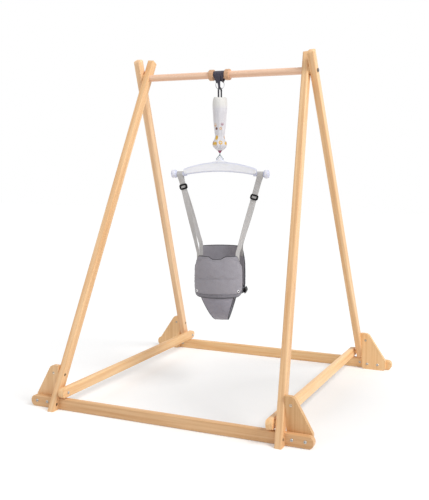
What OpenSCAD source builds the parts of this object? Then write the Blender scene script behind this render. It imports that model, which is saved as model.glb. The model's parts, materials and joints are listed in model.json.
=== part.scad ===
// Baby jumper: a wooden A-frame stand with a sprung fabric seat hung from its top bar.
// X runs along the top bar, Y to the back, Z up, with the origin on the floor under the bar's middle.

/* [Stand] */
// Height of the top bar's axis above the floor
bar_h = 1100; // [950:5:1250]
// Diameter of the top bar
bar_d = 24; // [20:1:32]
// Length of the top bar, between the front legs
bar_len = 572; // [500:2:700]
// Outward splay of the front legs in degrees
splay = 4.8; // [3.5:0.1:6.5]
// Fore and aft lean of all legs in degrees
lean = 23.7; // [20:0.1:27]
// Leg thickness, across the stand
leg_t = 23; // [16:0.5:26]
// Leg depth, fore and aft
leg_d = 32; // [28:0.5:42]
// How far the legs reach past the top bar's axis
leg_over = 68; // [45:1:100]
// Rounding of the leg tops
leg_top_r = 12; // [4:0.5:13]
// Rounding of the leg tops across the leg's thickness
leg_cap_r = 7; // [2:0.5:7.5]
// Rounding along the edges of legs and rails
edge_r = 4.5; // [1:0.25:5]
// Thickness of the spacer washer between front and rear legs
washer_t = 3.5; // [3:0.25:8]

/* [Rails and gussets] */
// Floor rail thickness, fore and aft
rail_t = 21; // [16:0.5:26]
// Floor rail height
rail_h = 38; // [32:0.5:50]
// How far the front rail sticks out past the front legs
front_toe = 84; // [82:1:130]
// How far the rear rail sticks out past the rear legs
rear_toe = 110; // [96:1:140]
// Rounding of the toe ends
toe_r = 18; // [6:0.5:24]
// Side rail thickness
side_rail_t = 20; // [14:0.5:26]
// Side rail height
side_rail_h = 34; // [26:0.5:40]
// Gap between floor rails and side rails
rail_gap = 5; // [4:0.5:12]
// Side rail overhang past its front bolt
side_rail_over = 28; // [22:1:40]
// Thickness of the spacers between side rails and legs
spacer_t = 6; // [5:0.25:9]
// Gusset plate thickness
gusset_t = 15; // [11:0.5:18]
// Gusset plate height
gusset_h = 140; // [130:1:180]
// Front gusset width at the floor
front_gusset_w = 75; // [72:1:80]
// Rear gusset width at the floor
rear_gusset_w = 90; // [80:1:94]
// Gusset width at its top
gusset_top_w = 29; // [27:1:50]

/* [Stand hardware] */
// Pivot bolt diameter
pivot_bolt_d = 8; // [6:0.5:10]
// Diameter of the other bolts
bolt_d = 6; // [4:0.5:7]
// Diameter of the barrel nuts
barrel_d = 10; // [8:0.5:11]

/* [Hanging strap and carabiner] */
// Where the jumper hangs along the bar, from its middle
jumper_x = -13; // [-60:1:60]
// Turn of the hanging jumper about the vertical in degrees
jumper_turn = 12; // [-20:1:20]
// Width of the hanging strap on the bar
hang_strap_w = 41; // [30:1:50]
// Thickness of the hanging strap
hang_strap_t = 2; // [1:0.25:3]
// Outer diameter of the bar collars
collar_d = 38; // [34:0.5:50]
// Width of each bar collar
collar_w = 17; // [10:0.5:26]
// Outer diameter of the strap ring
ring_d = 35; // [31:0.5:42]
// Wire diameter of the strap ring
ring_wire = 3; // [2:0.25:4]
// Drop of the ring's middle below the bar's axis
ring_drop = 33; // [32.5:0.5:45]
// Outer length of the carabiner
carabiner_l = 60; // [54:0.5:80]
// Outer width of the carabiner
carabiner_w = 30; // [27:0.5:40]
// Rod diameter of the carabiner
carabiner_rod = 6; // [5:0.25:7]

/* [Spring] */
// Outer diameter of the spring
spring_d = 25; // [21:0.5:25.5]
// Wire diameter of the spring
spring_wire = 3; // [2:0.25:3.5]
// Length of the spring's coil
spring_len = 127; // [122:1:135]
// Number of coils
spring_coils = 16; // [8:1:22]
// Wall of the fabric cover round the spring
cover_t = 1.2; // [0.8:0.1:2]
// Thickness of the safety cord inside the spring
cord_d = 4; // [2:0.5:7]

/* [Spreader bar] */
// Distance between the outer faces of the spreader's knobs
spreader_len = 350; // [320:2:420]
// Height of the spreader at its middle
spreader_h = 34; // [26:1:44]
// Height of the spreader at its shoulders
shoulder_h = 23; // [20:0.5:30]
// Drop of the spreader's top edge from its middle to its shoulders
spreader_drop = 24; // [10:1:34]
// Thickness of the spreader, fore and aft
spreader_t = 16; // [14:0.5:24]
// Diameter of the end knobs
knob_d = 30; // [26:0.5:40]
// Width of the end knobs
knob_w = 20; // [12:0.5:24]
// Diameter of the necks that carry the straps
neck_d = 16; // [12:0.5:20]

/* [Seat] */
// Width of the seat's webbing straps
strap_w = 21; // [16:0.5:24]
// Thickness of the seat's webbing straps
strap_t = 1.6; // [1:0.1:2]
// Distance of the left slider from its neck, along the strap
left_slider_at = 47; // [42:1:60]
// Distance of the right slider from its neck, along the strap
right_slider_at = 83; // [70:1:110]
// Turn of the seat against the spreader bar in degrees
seat_twist = 5; // [-10:1:10]
// Middle radius of the seat's panels
seat_r = 92; // [82:1:110]
// Panel thickness at its fullest
panel_t = 7; // [5:0.25:9]
// Height of the front panel's top edge above the floor
seat_top = 478; // [455:1:500]
// Height of the panels' lower edge above the floor
seat_low = 335; // [320:1:350]
// How much higher the back panel reaches than the front panel
back_rise = 22; // [0:1:40]
// Depth of the crotch panel below the panels' lower edge
crotch_drop = 92; // [80:1:110]
// Width of the crotch panel at the panels
crotch_w = 114; // [90:1:124]
// Width of the crotch panel underneath
crotch_low_w = 44; // [36:1:70]
// How far the crotch panel's lowest part lies to the right
crotch_shift = 10; // [-12:1:12]
// Height of the waist belts
belt_h = 20; // [14:0.5:24]

/* [Hidden] */
$fn = 64;

LEFT = -1;
RIGHT = 1;
FRONT = -1;
REAR = 1;

// Clearances: running fit of a bolt, gap between soft or hanging pieces, gap beside a swinging board
run_fit = 0.05;
hang_gap = 0.3;
swing_gap = 0.4;
past = 1;

// Colours
wood = [0.90, 0.74, 0.53];
wood_pale = [0.93, 0.79, 0.60];
steel = [0.62, 0.64, 0.66];
charcoal = [0.22, 0.21, 0.26];
grey_cloth = [0.56, 0.55, 0.59];
grey_web = [0.70, 0.70, 0.68];
white_plastic = [0.90, 0.90, 0.95];

// Stand: inner faces of the legs at the bar, then the rear splay that lines all feet up on the floor
half_span = bar_len / 2;
pivot_gap = 0.7;
rear_half = half_span + (leg_t + washer_t) / cos(splay) + pivot_gap;
rear_splay = atan((half_span + bar_h * tan(splay) - rear_half) / bar_h);
leg_len = 1.25 * bar_h;

function tilt(end) = end == FRONT ? splay : rear_splay;
function half_at(end) = end == FRONT ? half_span : rear_half;
// Outer face of a leg on the floor, distance of a leg's middle from the bar's plane at height z
function foot_x(end) = half_at(end) + leg_t / cos(tilt(end)) + bar_h * tan(tilt(end));
function leg_y(end, z) = (bar_h - z) / cos(tilt(end)) * tan(lean);
// Height z as measured along a leg's own plane, at a depth x into the leg
function along(end, z, x) = (z - bar_h - x * sin(tilt(end))) / cos(tilt(end));
// The floor rails meet the inner edges of the legs at the rails' top
function rail_y(end) = leg_y(end, rail_h) - leg_d / 2 / cos(lean) + rail_t / 2;
function toe(end) = end == FRONT ? front_toe : rear_toe;
function gusset_w(end) = end == FRONT ? front_gusset_w : rear_gusset_w;
function gusset_y(end) = rail_y(end) - rail_t / 2 - gusset_t / 2;

bolt_r = bolt_d / 2;
pivot_r = pivot_bolt_d / 2;
barrel_r = barrel_d / 2;
head_r = bolt_r + 2;
head_t = 2;
pivot_head_t = 2.5;
pivot_nut_in = 20;
gusset_bolt_z = 112;
gusset_nut_in = 18;
toe_bolts_x = [20, 60];
toe_bolt_z = 0.55 * rail_h;
rail_nut_out = 10;
spacer_r = head_r + 3;
side_rail_z = rail_h + rail_gap + side_rail_h / 2;
side_rail_tail = side_rail_h / 2 + 2;
side_rail_nose = 0.47 * side_rail_h;
side_rail_x = spacer_t + swing_gap;

// Hanging parts, from the bar down
ring_mid_r = (ring_d - ring_wire) / 2;
ring_z = bar_h - ring_drop;
rod_r = carabiner_rod / 2;
carabiner_top = ring_z - ring_mid_r + ring_wire / 2 + hang_gap + rod_r;
carabiner_low = carabiner_top - carabiner_l + carabiner_rod;
hook_r = 9;
hook_z = carabiner_low + rod_r + hang_gap + spring_wire / 2 - hook_r;
plug_h = 12;
spring_top = hook_z - hook_r - 3;
spring_low = spring_top - spring_len;
// Straight steps in one turn of the spring; the plugs clear the middle of each step
ring_steps = 8;
coil_r = (spring_d - spring_wire) / 2;
plug_r = coil_r * cos(180 / ring_steps) - spring_wire / 2 - hang_gap;
stem_r = 1.25;
tip_top = spring_low - 11;
tip_low = tip_top - 15;
tip_r = 8;
foot_eye_r = 4;
foot_eye_z = tip_low - foot_eye_r - stem_r;
triangle_r = 1.25;
triangle_bend = 2.5;
triangle_half = 15;
triangle_h = 18;
// The bend at the top of the wire triangle rests on the foot eye
triangle_slope = atan(triangle_half / triangle_h);
triangle_apex = foot_eye_z - foot_eye_r + stem_r + hang_gap + triangle_r
    + triangle_bend / sin(triangle_slope) - triangle_bend;
triangle_low = triangle_apex - triangle_h;

// Spreader bar, below the wire triangle's foot
crest_h = 11;
crest_under = 8;
crest_t = 10;
spreader_top = triangle_low - crest_under;
shoulder_x = spreader_len / 2 - knob_w - strap_w - 3;
neck_x = spreader_len / 2 - knob_w - strap_w / 2 - 0.5;
neck_z = spreader_top - spreader_drop - shoulder_h / 2 - 6;
strap_lean = 15;
slider_h = 20;

// Points and outlines
function unit(v) = v / norm(v);
function mix(a, b, t) = a + (b - a) * t;
function clamp01(t) = min(1, max(0, t));
function smooth(t) = let (k = clamp01(t)) k * k * (3 - 2 * k);

// Corner of an outline as an arc of radius r between the edges to its neighbours
function corner(a, p, b, r) =
    let (
        u = unit(a - p),
        v = unit(b - p),
        half = acos(max(-1, min(1, u * v))) / 2,
        centre = p + unit(u + v) * r / sin(half),
        from = p + u * r / tan(half) - centre,
        turn = sign(u.x * v.y - u.y * v.x) * (2 * half - 180),
        steps = 8
    )
    [for (i = [0 : steps]) let (t = turn * i / steps)
        centre + [from.x * cos(t) - from.y * sin(t), from.x * sin(t) + from.y * cos(t)]];

// Outline with its corners rounded, one radius for each
function rounded(pts, radii) =
    let (n = len(pts))
    [for (i = [0 : n - 1])
        each radii[i] > 0 ? corner(pts[(i + n - 1) % n], pts[i], pts[(i + 1) % n], radii[i]) : [pts[i]]];

module rounded_rect(w, h, r) {
    square([w - 2 * r, h], center = true);
    square([w, h - 2 * r], center = true);
    for (x = [-1, 1], y = [-1, 1])
        translate([x * (w / 2 - r), y * (h / 2 - r)])
            circle(r);
}

// Skin over rings of points; each ring runs anticlockwise seen from the way the rings go.
// A ring is two equal chains, out and back, so that its end caps are strips of triangles.
module loft(rings, closed = false) {
    n = len(rings);
    m = len(rings[0]);
    span = closed ? n : n - 1;
    half = m / 2;
    sides = [for (i = [0 : span - 1], j = [0 : m - 1])
        let (a = i * m + j, b = i * m + (j + 1) % m, c = ((i + 1) % n) * m + (j + 1) % m, d = ((i + 1) % n) * m + j)
        each [[a, c, b], [a, d, c]]];
    strip = [for (k = [0 : half - 2]) each [[k, k + 1, m - 2 - k], [k, m - 2 - k, m - 1 - k]]];
    low = closed ? [] : strip;
    high = closed ? [] : [for (f = strip) [for (k = [2, 1, 0]) (n - 1) * m + f[k]]];
    polyhedron([for (r = rings) each r], concat(sides, low, high), convexity = 10);
}

// Ring of points of a flat band: middle p, travel t, width vector w, thickness h
function band(p, t, w, h) =
    let (up = unit(cross(t, w)) * h / 2, side = w / 2)
    [p - side - up, p + side - up, p + side + up, p - side + up];

// Ring of points of a round tube: middle p, travel t, first direction e
function tube(p, t, e, r, sides) =
    let (f = cross(unit(t), e))
    [for (k = [0 : sides - 1]) let (a = 360 * k / sides) p + r * (e * cos(a) + f * sin(a))];

// Closed wire in the XZ plane, bent round the corners of an outline that runs anticlockwise;
// its straight lengths are a hair slimmer and reach a little way into the bends
module bent_wire(pts, bend, r) {
    n = len(pts);
    lap = 0.2;
    slim = 0.02;
    rotate([90, 0, 0])
        for (i = [0 : n - 1]) {
            p = pts[i];
            q = pts[(i + 1) % n];
            u = unit(pts[(i + n - 1) % n] - p);
            v = unit(q - p);
            w = unit(pts[(i + 2) % n] - q);
            half = acos(u * v) / 2;
            cut = bend / tan(half);
            far_cut = bend / tan(acos(-v * w) / 2);
            centre = p + unit(u + v) * bend / sin(half);
            from = p + u * cut - centre;
            translate(centre)
                rotate([0, 0, atan2(from.y, from.x)])
                    rotate_extrude(angle = 180 - 2 * half)
                        translate([bend, 0])
                            circle(r);
            translate(p + v * (cut - lap))
                rotate([0, 0, atan2(v.y, v.x)])
                    rotate([0, 90, 0])
                        cylinder(r = r - slim, h = norm(q - p) - cut - far_cut + 2 * lap);
        }
}

// Ring-shaped wire about the Z axis
module wire_ring(mid_r, r)
    rotate_extrude()
        translate([mid_r, 0])
            circle(r);

// Places
// Plane of one leg: X outwards from the leg's inner face, Z up along it, origin on the bar's axis
module on_leg(end, side)
    mirror([side < 0 ? 1 : 0, 0, 0])
        translate([half_at(end), 0, bar_h])
            rotate([0, -tilt(end), 0])
                children();

module hung()
    translate([jumper_x, 0, 0])
        children();

module turned()
    hung()
        rotate([0, 0, jumper_turn])
            children();

module seated()
    turned()
        rotate([0, 0, seat_twist])
            children();

// Round solids along X and along Y
module rod_x(r, from, to)
    translate([from, 0, 0])
        rotate([0, 90, 0])
            cylinder(r = r, h = to - from);

module rod_y(r, from, to)
    translate([0, from, 0])
        rotate([-90, 0, 0])
            cylinder(r = r, h = to - from);

module below_floor()
    translate([-bar_len * 2, -bar_h * 2, -bar_h])
        cube([bar_len * 4, bar_h * 4, bar_h]);

// Stand: legs
module leg_blank(end, side)
    on_leg(end, side)
        rotate([end * lean, 0, 0])
            intersection() {
                translate([leg_t / 2, 0, -leg_len])
                    linear_extrude(leg_len + leg_over)
                        rounded_rect(leg_t, leg_d, edge_r);
                translate([0, 0, (leg_over - leg_len) / 2])
                    rotate([90, 0, 90])
                        linear_extrude(leg_t)
                            rounded_rect(leg_d, leg_len + leg_over, leg_top_r);
                translate([leg_t / 2, 0, (leg_over - leg_len) / 2])
                    rotate([90, 0, 0])
                        linear_extrude(leg_d, center = true)
                            rounded_rect(leg_t, leg_len + leg_over, leg_cap_r);
            }

module leg(end, side)
    color(wood)
        difference() {
            leg_blank(end, side);
            below_floor();
            rail_block(end);
            translate([0, 0, bar_h])
                rod_x(pivot_r + run_fit, -bar_len, bar_len);
            gusset_bolt(end, side, run_fit);
            rail_nut(end, side, run_fit);
            rail_bolt(end, side, run_fit);
            if (end == FRONT)
                side_rail_axis(FRONT, side)
                    rod_x(bolt_r + run_fit, -past, 0.7 * leg_t);
            else
                side_rail_axis(REAR, side)
                    rod_x(bolt_r + run_fit, -leg_t, 0.7 * leg_t + run_fit);
        }

// Stand: floor rails with their rounded toes
module rail_block(end)
    translate([0, end * rail_y(end), rail_h / 2])
        cube([2 * (foot_x(end) + toe(end)), rail_t, rail_h], center = true);

module rail(end)
    color(wood)
        difference() {
            intersection() {
                translate([0, end * rail_y(end), rail_h / 2])
                    rotate([90, 0, 0])
                        linear_extrude(rail_t, center = true)
                            rounded_rect(2 * (foot_x(end) + toe(end)), rail_h, min(toe_r, rail_h / 2 - 0.5));
                translate([0, end * rail_y(end), rail_h / 2])
                    rotate([90, 0, 90])
                        linear_extrude(2 * (foot_x(end) + toe(end)), center = true)
                            rounded_rect(rail_t, rail_h, edge_r);
            }
            for (side = [LEFT, RIGHT]) {
                toe_bolts(end, side, run_fit);
                rail_bolt(end, side, run_fit);
            }
        }

// Stand: gusset plate between a leg's outer face and the toe
module gusset(end, side) {
    low = foot_x(end);
    top = low - gusset_h * tan(tilt(end));
    color(wood_pale)
        difference() {
            mirror([side < 0 ? 1 : 0, 0, 0])
                translate([0, end * gusset_y(end), 0])
                    rotate([90, 0, 0])
                        linear_extrude(gusset_t, center = true)
                            polygon(rounded([
                                [low, 0],
                                [low + gusset_w(end), 0],
                                [low + gusset_w(end), rail_h],
                                [top + gusset_top_w, gusset_h],
                                [top, gusset_h]
                            ], [12, 10, 12, 20, 1]));
            gusset_bolt(end, side, run_fit);
            gusset_nut(end, side, run_fit);
            toe_bolts(end, side, run_fit);
        }
}

// Bolt from the leg's inner face into the edge of the gusset, with its barrel nut
module gusset_bolt_axis(end, side)
    on_leg(end, side)
        translate([0, end * gusset_y(end), along(end, gusset_bolt_z, leg_t)])
            children();

module gusset_bolt(end, side, fit = 0)
    gusset_bolt_axis(end, side) {
        rod_x(bolt_r + fit, head_t, leg_t + gusset_nut_in);
        rod_x(head_r + fit, fit > 0 ? -past : 0, head_t + fit);
    }

module gusset_nut(end, side, fit = 0)
    gusset_bolt_axis(end, side)
        translate([leg_t + gusset_nut_in, 0, 0])
            rod_y(barrel_r + fit, -gusset_t / 2 - (fit > 0 ? past : 0), gusset_t / 2 + (fit > 0 ? past : 0));

// Bolts through toe and gusset, heads outside, cap nuts inside
module toe_bolts(end, side, fit = 0)
    for (x = toe_bolts_x)
        translate([side * (foot_x(end) + x), end * rail_y(end), toe_bolt_z])
            mirror([0, end == FRONT ? 1 : 0, 0]) {
                rod_y(bolt_r + fit, -rail_t / 2 - gusset_t - (fit > 0 ? past : head_t - past), rail_t / 2 + past);
                if (fit == 0)
                    rod_y(head_r, rail_t / 2, rail_t / 2 + head_t);
            }

module toe_nuts(end, side)
    for (x = toe_bolts_x)
        translate([side * (foot_x(end) + x), end * gusset_y(end), toe_bolt_z])
            mirror([0, end == FRONT ? 1 : 0, 0])
                difference() {
                    rod_y(head_r, -gusset_t / 2 - head_t, -gusset_t / 2);
                    rod_y(bolt_r + run_fit, -gusset_t / 2 - head_t + past - run_fit, 0);
                }

// Bolt from the rail's inner face into a barrel nut in the leg
rail_bolt_z = 0.55 * rail_h;
function rail_bolt_x(end) = foot_x(end) - leg_t / 2 / cos(tilt(end)) - rail_bolt_z * tan(tilt(end));

module rail_bolt(end, side, fit = 0)
    translate([side * rail_bolt_x(end), end * rail_y(end), rail_bolt_z])
        mirror([0, end == FRONT ? 1 : 0, 0]) {
            rod_y(bolt_r + fit, -rail_t / 2 - past, rail_t / 2 + rail_nut_out);
            if (fit == 0)
                rod_y(head_r, -rail_t / 2 - head_t, -rail_t / 2);
        }

module rail_nut(end, side, fit = 0)
    on_leg(end, side)
        translate([0, end * (rail_y(end) + rail_t / 2 + rail_nut_out), along(end, rail_bolt_z, leg_t / 2)])
            rod_x(barrel_r + fit, fit > 0 ? -past : 0, fit > 0 ? leg_t + past : leg_t);

module both_sides(end, kind)
    color(steel)
        for (side = [LEFT, RIGHT]) {
            if (kind == "gusset_bolt")
                gusset_bolt(end, side);
            if (kind == "gusset_nut")
                difference() {
                    gusset_nut(end, side);
                    gusset_bolt(end, side, run_fit);
                }
            if (kind == "toe_bolt")
                toe_bolts(end, side);
            if (kind == "toe_nut")
                toe_nuts(end, side);
            if (kind == "rail_bolt")
                rail_bolt(end, side);
            if (kind == "rail_nut")
                difference() {
                    rail_nut(end, side);
                    rail_bolt(end, side, run_fit);
                }
        }

// Top bar, its collars and the pivot bolts at its ends
module top_bar()
    color(wood)
        difference() {
            translate([0, 0, bar_h])
                rod_x(bar_d / 2, -half_span - leg_t, half_span + leg_t);
            for (side = [LEFT, RIGHT]) {
                on_leg(FRONT, side)
                    translate([0, -bar_d, -bar_d])
                        cube(2 * bar_d);
                pivot_bolt(side, run_fit);
                bar_barrel_nut(side, run_fit);
            }
        }

module pivot_bolt(side, fit = 0)
    mirror([side < 0 ? 1 : 0, 0, 0])
        translate([0, 0, bar_h]) {
            outer = rear_half + leg_t / cos(rear_splay) + swing_gap + pivot_head_r * tan(rear_splay);
            rod_x(pivot_r + fit, half_span - pivot_nut_in - barrel_r, outer + past);
            if (fit == 0)
                rod_x(pivot_head_r, outer, outer + pivot_head_t);
        }

pivot_head_r = pivot_r + 2.5;

module bar_barrel_nut(side, fit = 0)
    translate([side * (half_span - pivot_nut_in), 0, bar_h - 0.4 * bar_d])
        cylinder(r = min(barrel_r, bar_d / 2 - 4) + fit, h = bar_d * (fit > 0 ? 1 : 0.86));

module pivot_bolts()
    color(steel)
        for (side = [LEFT, RIGHT])
            pivot_bolt(side);

module bar_barrel_nuts()
    color(steel)
        for (side = [LEFT, RIGHT])
            difference() {
                bar_barrel_nut(side);
                pivot_bolt(side, run_fit);
            }

module bar_collar(side)
    color(wood_pale)
        translate([jumper_x + side * (hang_strap_w / 2 + past + collar_w / 2), 0, bar_h])
            rotate([0, 90, 0])
                rotate_extrude()
                    difference() {
                        rounded_rect(collar_d, collar_w, 2.5);
                        translate([-collar_d, -collar_w])
                            square([collar_d + bar_d / 2 + run_fit, 2 * collar_w]);
                    }

module pivot_washers()
    color(wood_pale)
        for (side = [LEFT, RIGHT])
            difference() {
                on_leg(FRONT, side)
                    rod_x(min(pivot_r + 10, leg_d / 2 - 2), leg_t, leg_t + washer_t);
                translate([0, 0, bar_h])
                    rod_x(pivot_r + run_fit, -bar_len, bar_len);
            }

// Side rails, parallel to the front legs' inner faces
module side_rail_axis(end, side)
    on_leg(FRONT, side)
        translate([0, end * leg_y(end, side_rail_z), along(FRONT, side_rail_z, 0)])
            children();

module side_rail(side) {
    front_y = -leg_y(FRONT, side_rail_z) - side_rail_over;
    rear_y = leg_y(REAR, side_rail_z) + side_rail_tail;
    color(wood)
        difference() {
            intersection() {
                on_leg(FRONT, side)
                    translate([-side_rail_x - side_rail_t, 0, along(FRONT, side_rail_z, 0)])
                        rotate([90, 0, 90])
                            linear_extrude(side_rail_t)
                                polygon(rounded([
                                    [front_y, -side_rail_h / 2],
                                    [rear_y, -side_rail_h / 2],
                                    [rear_y, side_rail_h / 2],
                                    [front_y, side_rail_h / 2]
                                ], [side_rail_nose, side_rail_h / 2 - 0.1, side_rail_h / 2 - 0.1, side_rail_nose]));
                on_leg(FRONT, side)
                    translate([-side_rail_x - side_rail_t / 2, front_y, along(FRONT, side_rail_z, 0)])
                        rotate([-90, 0, 0])
                            linear_extrude(rear_y - front_y)
                                rounded_rect(side_rail_t, side_rail_h, edge_r);
            }
            for (end = [FRONT, REAR])
                side_rail_axis(end, side)
                    rod_x(bolt_r + run_fit, -side_rail_x - side_rail_t - past, past - side_rail_x);
        }
}

// Pivot of a side rail, held in the rear leg
module side_rail_pivots()
    color(steel)
        for (side = [LEFT, RIGHT])
            side_rail_axis(REAR, side) {
                head = -side_rail_x - side_rail_t - swing_gap;
                rod_x(bolt_r, head - past, 0.7 * leg_t);
                rod_x(head_r, head - head_t, head);
            }

// Front bolt of a side rail, which stays in the rail when its end is let go
module side_rail_bolt(side)
    color(steel)
        side_rail_axis(FRONT, side) {
            head = -side_rail_x - side_rail_t;
            rod_x(bolt_r, head - past, -side_rail_x);
            rod_x(head_r, head - head_t, head);
        }

module spacers(end)
    color(wood_pale)
        for (side = [LEFT, RIGHT])
            difference() {
                side_rail_axis(end, side)
                    difference() {
                        rod_x(spacer_r, -spacer_t, end == FRONT ? 0 : spacer_t);
                        rod_x(bolt_r + run_fit, -spacer_t - past, spacer_t + past);
                    }
                if (end == REAR)
                    on_leg(REAR, side)
                        translate([0, 0, -leg_len])
                            cube([leg_t, leg_len, leg_len]);
            }

// Hanging strap: a flat loop round the bar and round the top of the ring, drawn in at the ring
hang_low_w = 1.3 * ring_mid_r;
loop_bar_r = bar_d / 2 + hang_gap + hang_strap_t / 2;
loop_ring_r = ring_wire / 2 + 1 + hang_strap_t / 2;
loop_low_z = ring_z + ring_mid_r;
loop_angle = asin((loop_bar_r - loop_ring_r) / (bar_h - loop_low_z));

// Point of the loop's middle line at angle a, with the outward direction there
function loop_point(a) = a < 180 + loop_angle
    ? [loop_bar_r * cos(a), bar_h + loop_bar_r * sin(a)]
    : [loop_ring_r * cos(a), loop_low_z + loop_ring_r * sin(a)];
// Share of the way from the bar down to the ring
function loop_share(z) = smooth((bar_h - z) / (bar_h - loop_low_z));

function strap_ring_points(a) =
    let (
        p = loop_point(a),
        out = [0, cos(a), sin(a)] * hang_strap_t / 2,
        k = loop_share(p.y),
        w = mix(hang_strap_w, hang_low_w, k) / 2,
        across = [for (i = [-3 : 3]) w * i / 3],
        sag = function (x) k * (ring_mid_r - sqrt(ring_mid_r * ring_mid_r - pow(x * hang_low_w / 2 / w, 2)))
    )
    concat(
        [for (x = across) [x, p.x, p.y - sag(x)] - out],
        [for (i = [6 : -1 : 0]) [across[i], p.x, p.y - sag(across[i])] + out]
    );

module hanging_strap() {
    top_span = 180 + 2 * loop_angle;
    low_span = 360 - top_span;
    angles = concat(
        [for (i = [0 : 16]) -loop_angle + top_span * i / 16 - (i == 16 ? 0.001 : 0)],
        [for (i = [0 : 8]) 180 + loop_angle + low_span * i / 8]
    );
    color(charcoal)
        hung()
            loft([for (a = angles) strap_ring_points(a)], closed = true);
}

module strap_ring()
    color(steel)
        hung()
            translate([0, 0, ring_z])
                rotate([90, 0, 0])
                    wire_ring(ring_mid_r, ring_wire / 2);

// Carabiner: an oval rod loop across the bar, with a sprung gate on its rear side
carabiner_half = (carabiner_w - carabiner_rod) / 2;
carabiner_bend = carabiner_half - 2.5;
gate_low = carabiner_low + carabiner_bend + 4;
gate_high = carabiner_top - carabiner_bend - 3;
gate_pin_r = 0.8;
gate_pin_z = gate_low + 3;
tongue_t = 2.2;
gate_r = rod_r - 0.3;
gate_heel = 1;

module carabiner()
    color(charcoal)
        hung()
            difference() {
                union() {
                    difference() {
                        rotate([0, 0, 90])
                            bent_wire([
                                [-carabiner_half, carabiner_low],
                                [carabiner_half, carabiner_low],
                                [carabiner_half, carabiner_top],
                                [-carabiner_half, carabiner_top]
                            ], carabiner_bend, rod_r);
                        translate([-2 * rod_r, carabiner_half - 2 * rod_r, gate_low])
                            cube([4 * rod_r, 4 * rod_r, gate_high - gate_low]);
                    }
                    translate([-tongue_t / 2, carabiner_half - rod_r + 1, gate_low - past])
                        cube([tongue_t, 2 * rod_r - 2, 6 + past]);
                }
                gate_pin_solid(run_fit);
            }

module gate_pin_solid(fit = 0)
    translate([0, carabiner_half, gate_pin_z])
        rod_x(gate_pin_r + fit, -gate_r + 0.1 - (fit > 0 ? past : 0), gate_r - 0.1 + (fit > 0 ? past : 0));

module gate_pin()
    color(steel)
        hung()
            gate_pin_solid();

module carabiner_gate()
    color(charcoal)
        hung()
            difference() {
                translate([0, carabiner_half, gate_low + gate_heel])
                    cylinder(r = gate_r, h = gate_high - gate_low - gate_heel - swing_gap);
                translate([-tongue_t / 2 - hang_gap, carabiner_half - 2 * rod_r, gate_low])
                    cube([tongue_t + 2 * hang_gap, 4 * rod_r, 9.5]);
                gate_pin_solid(run_fit);
            }

// Spring with its hook, foot and safety cord
module spring_hook()
    color(steel)
        turned() {
            translate([0, 0, hook_z])
                rotate([90, 0, 0])
                    wire_ring(hook_r, spring_wire / 2);
            translate([0, 0, spring_top - plug_h])
                cylinder(r = plug_r, h = plug_h);
            translate([0, 0, spring_top - past])
                cylinder(r = spring_wire / 2, h = hook_z - hook_r - spring_top + past);
        }

coil_count = ring_steps * spring_coils;
coil_rise = spring_len - spring_wire;
function coil_point(i) = [
    coil_r * cos(360 * i / ring_steps),
    coil_r * sin(360 * i / ring_steps),
    spring_low + spring_wire / 2 + coil_rise * i / coil_count
];
coil_points = [for (i = [0 : coil_count]) coil_point(i)];
coil_gap = min([for (i = [0 : coil_count - ring_steps], j = [ring_steps / 2 : ring_steps])
    norm(coil_points[i + j] - coil_points[i])]) - spring_wire;
echo(least_gap_between_coils = coil_gap);

module coil_spring() {
    climb = coil_rise / coil_count;
    color(steel)
        turned()
            loft([for (i = [0 : coil_count]) let (
                    a = 360 * i / ring_steps,
                    out = [cos(a), sin(a), 0],
                    travel = [-sin(a) * coil_r * PI * 2 / ring_steps, cos(a) * coil_r * PI * 2 / ring_steps, climb]
                )
                tube(coil_points[i], travel, out, spring_wire / 2, 6)]);
}

module safety_cord() {
    low = spring_low + plug_h + hang_gap;
    high = spring_top - plug_h - hang_gap;
    steps = 24;
    sway = max(0, plug_r - cord_d / 2 - 1);
    color(charcoal)
        turned()
            loft([for (i = [0 : steps]) let (t = i / steps, bow = sway * sin(720 * t) * sin(180 * t))
                tube([bow, 0, mix(low, high, t)], [0, 0, 1], [1, 0, 0], cord_d / 2, 8)]);
}

// Fabric cover: a soft tube with folds, gathered above a ruffle and again at the tip.
// Each level is its share of the way down, its radius and the depth of its folds, both as shares of spring_d.
cover_top = spring_top + 38;
cover_low = tip_top - 6;
cover_levels = [
    [0, 0.94, 0.016], [0.08, 1.01, 0.012], [0.17, 1.02, 0.012], [0.34, 0.93, 0.02], [0.52, 0.824, 0.024],
    [0.66, 0.728, 0.032], [0.75, 0.664, 0.036], [0.79, 0.736, 0.056], [0.86, 0.92, 0.088], [0.92, 0.904, 0.088],
    [0.97, 0.64, 0.056], [1, 0.384, 0]
];
cover_folds = 9;
spring_room = spring_d / 2 + hang_gap + cover_t;

function cover_r(level, a) =
    max(level[1] * spring_d, level[0] < 0.9 ? spring_room + level[2] * spring_d : 0)
    + level[2] * spring_d * sin(cover_folds * a + 300 * level[0]);

module spring_cover() {
    n = len(cover_levels);
    color([0.95, 0.94, 0.97])
        turned()
            loft([for (s = [0 : 47]) let (a = 7.5 * s, out = [cos(a), sin(a), 0])
                concat(
                    [for (i = [0 : n - 1]) let (l = cover_levels[i])
                        out * cover_r(l, a) + [0, 0, mix(cover_top, cover_low, l[0])]],
                    [for (i = [n - 1 : -1 : 0]) let (l = cover_levels[i])
                        out * (cover_r(l, a) - cover_t) + [0, 0, mix(cover_top, cover_low, l[0])]]
                )], closed = true);
}

module spring_tip()
    color([0.55, 0.16, 0.32])
        turned()
            rotate_extrude()
                polygon([
                    [stem_r + run_fit, tip_low],
                    [stem_r + 1.2, tip_low],
                    [tip_r, tip_top - 6.5],
                    [tip_r, tip_top],
                    [stem_r + run_fit, tip_top]
                ]);

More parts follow.
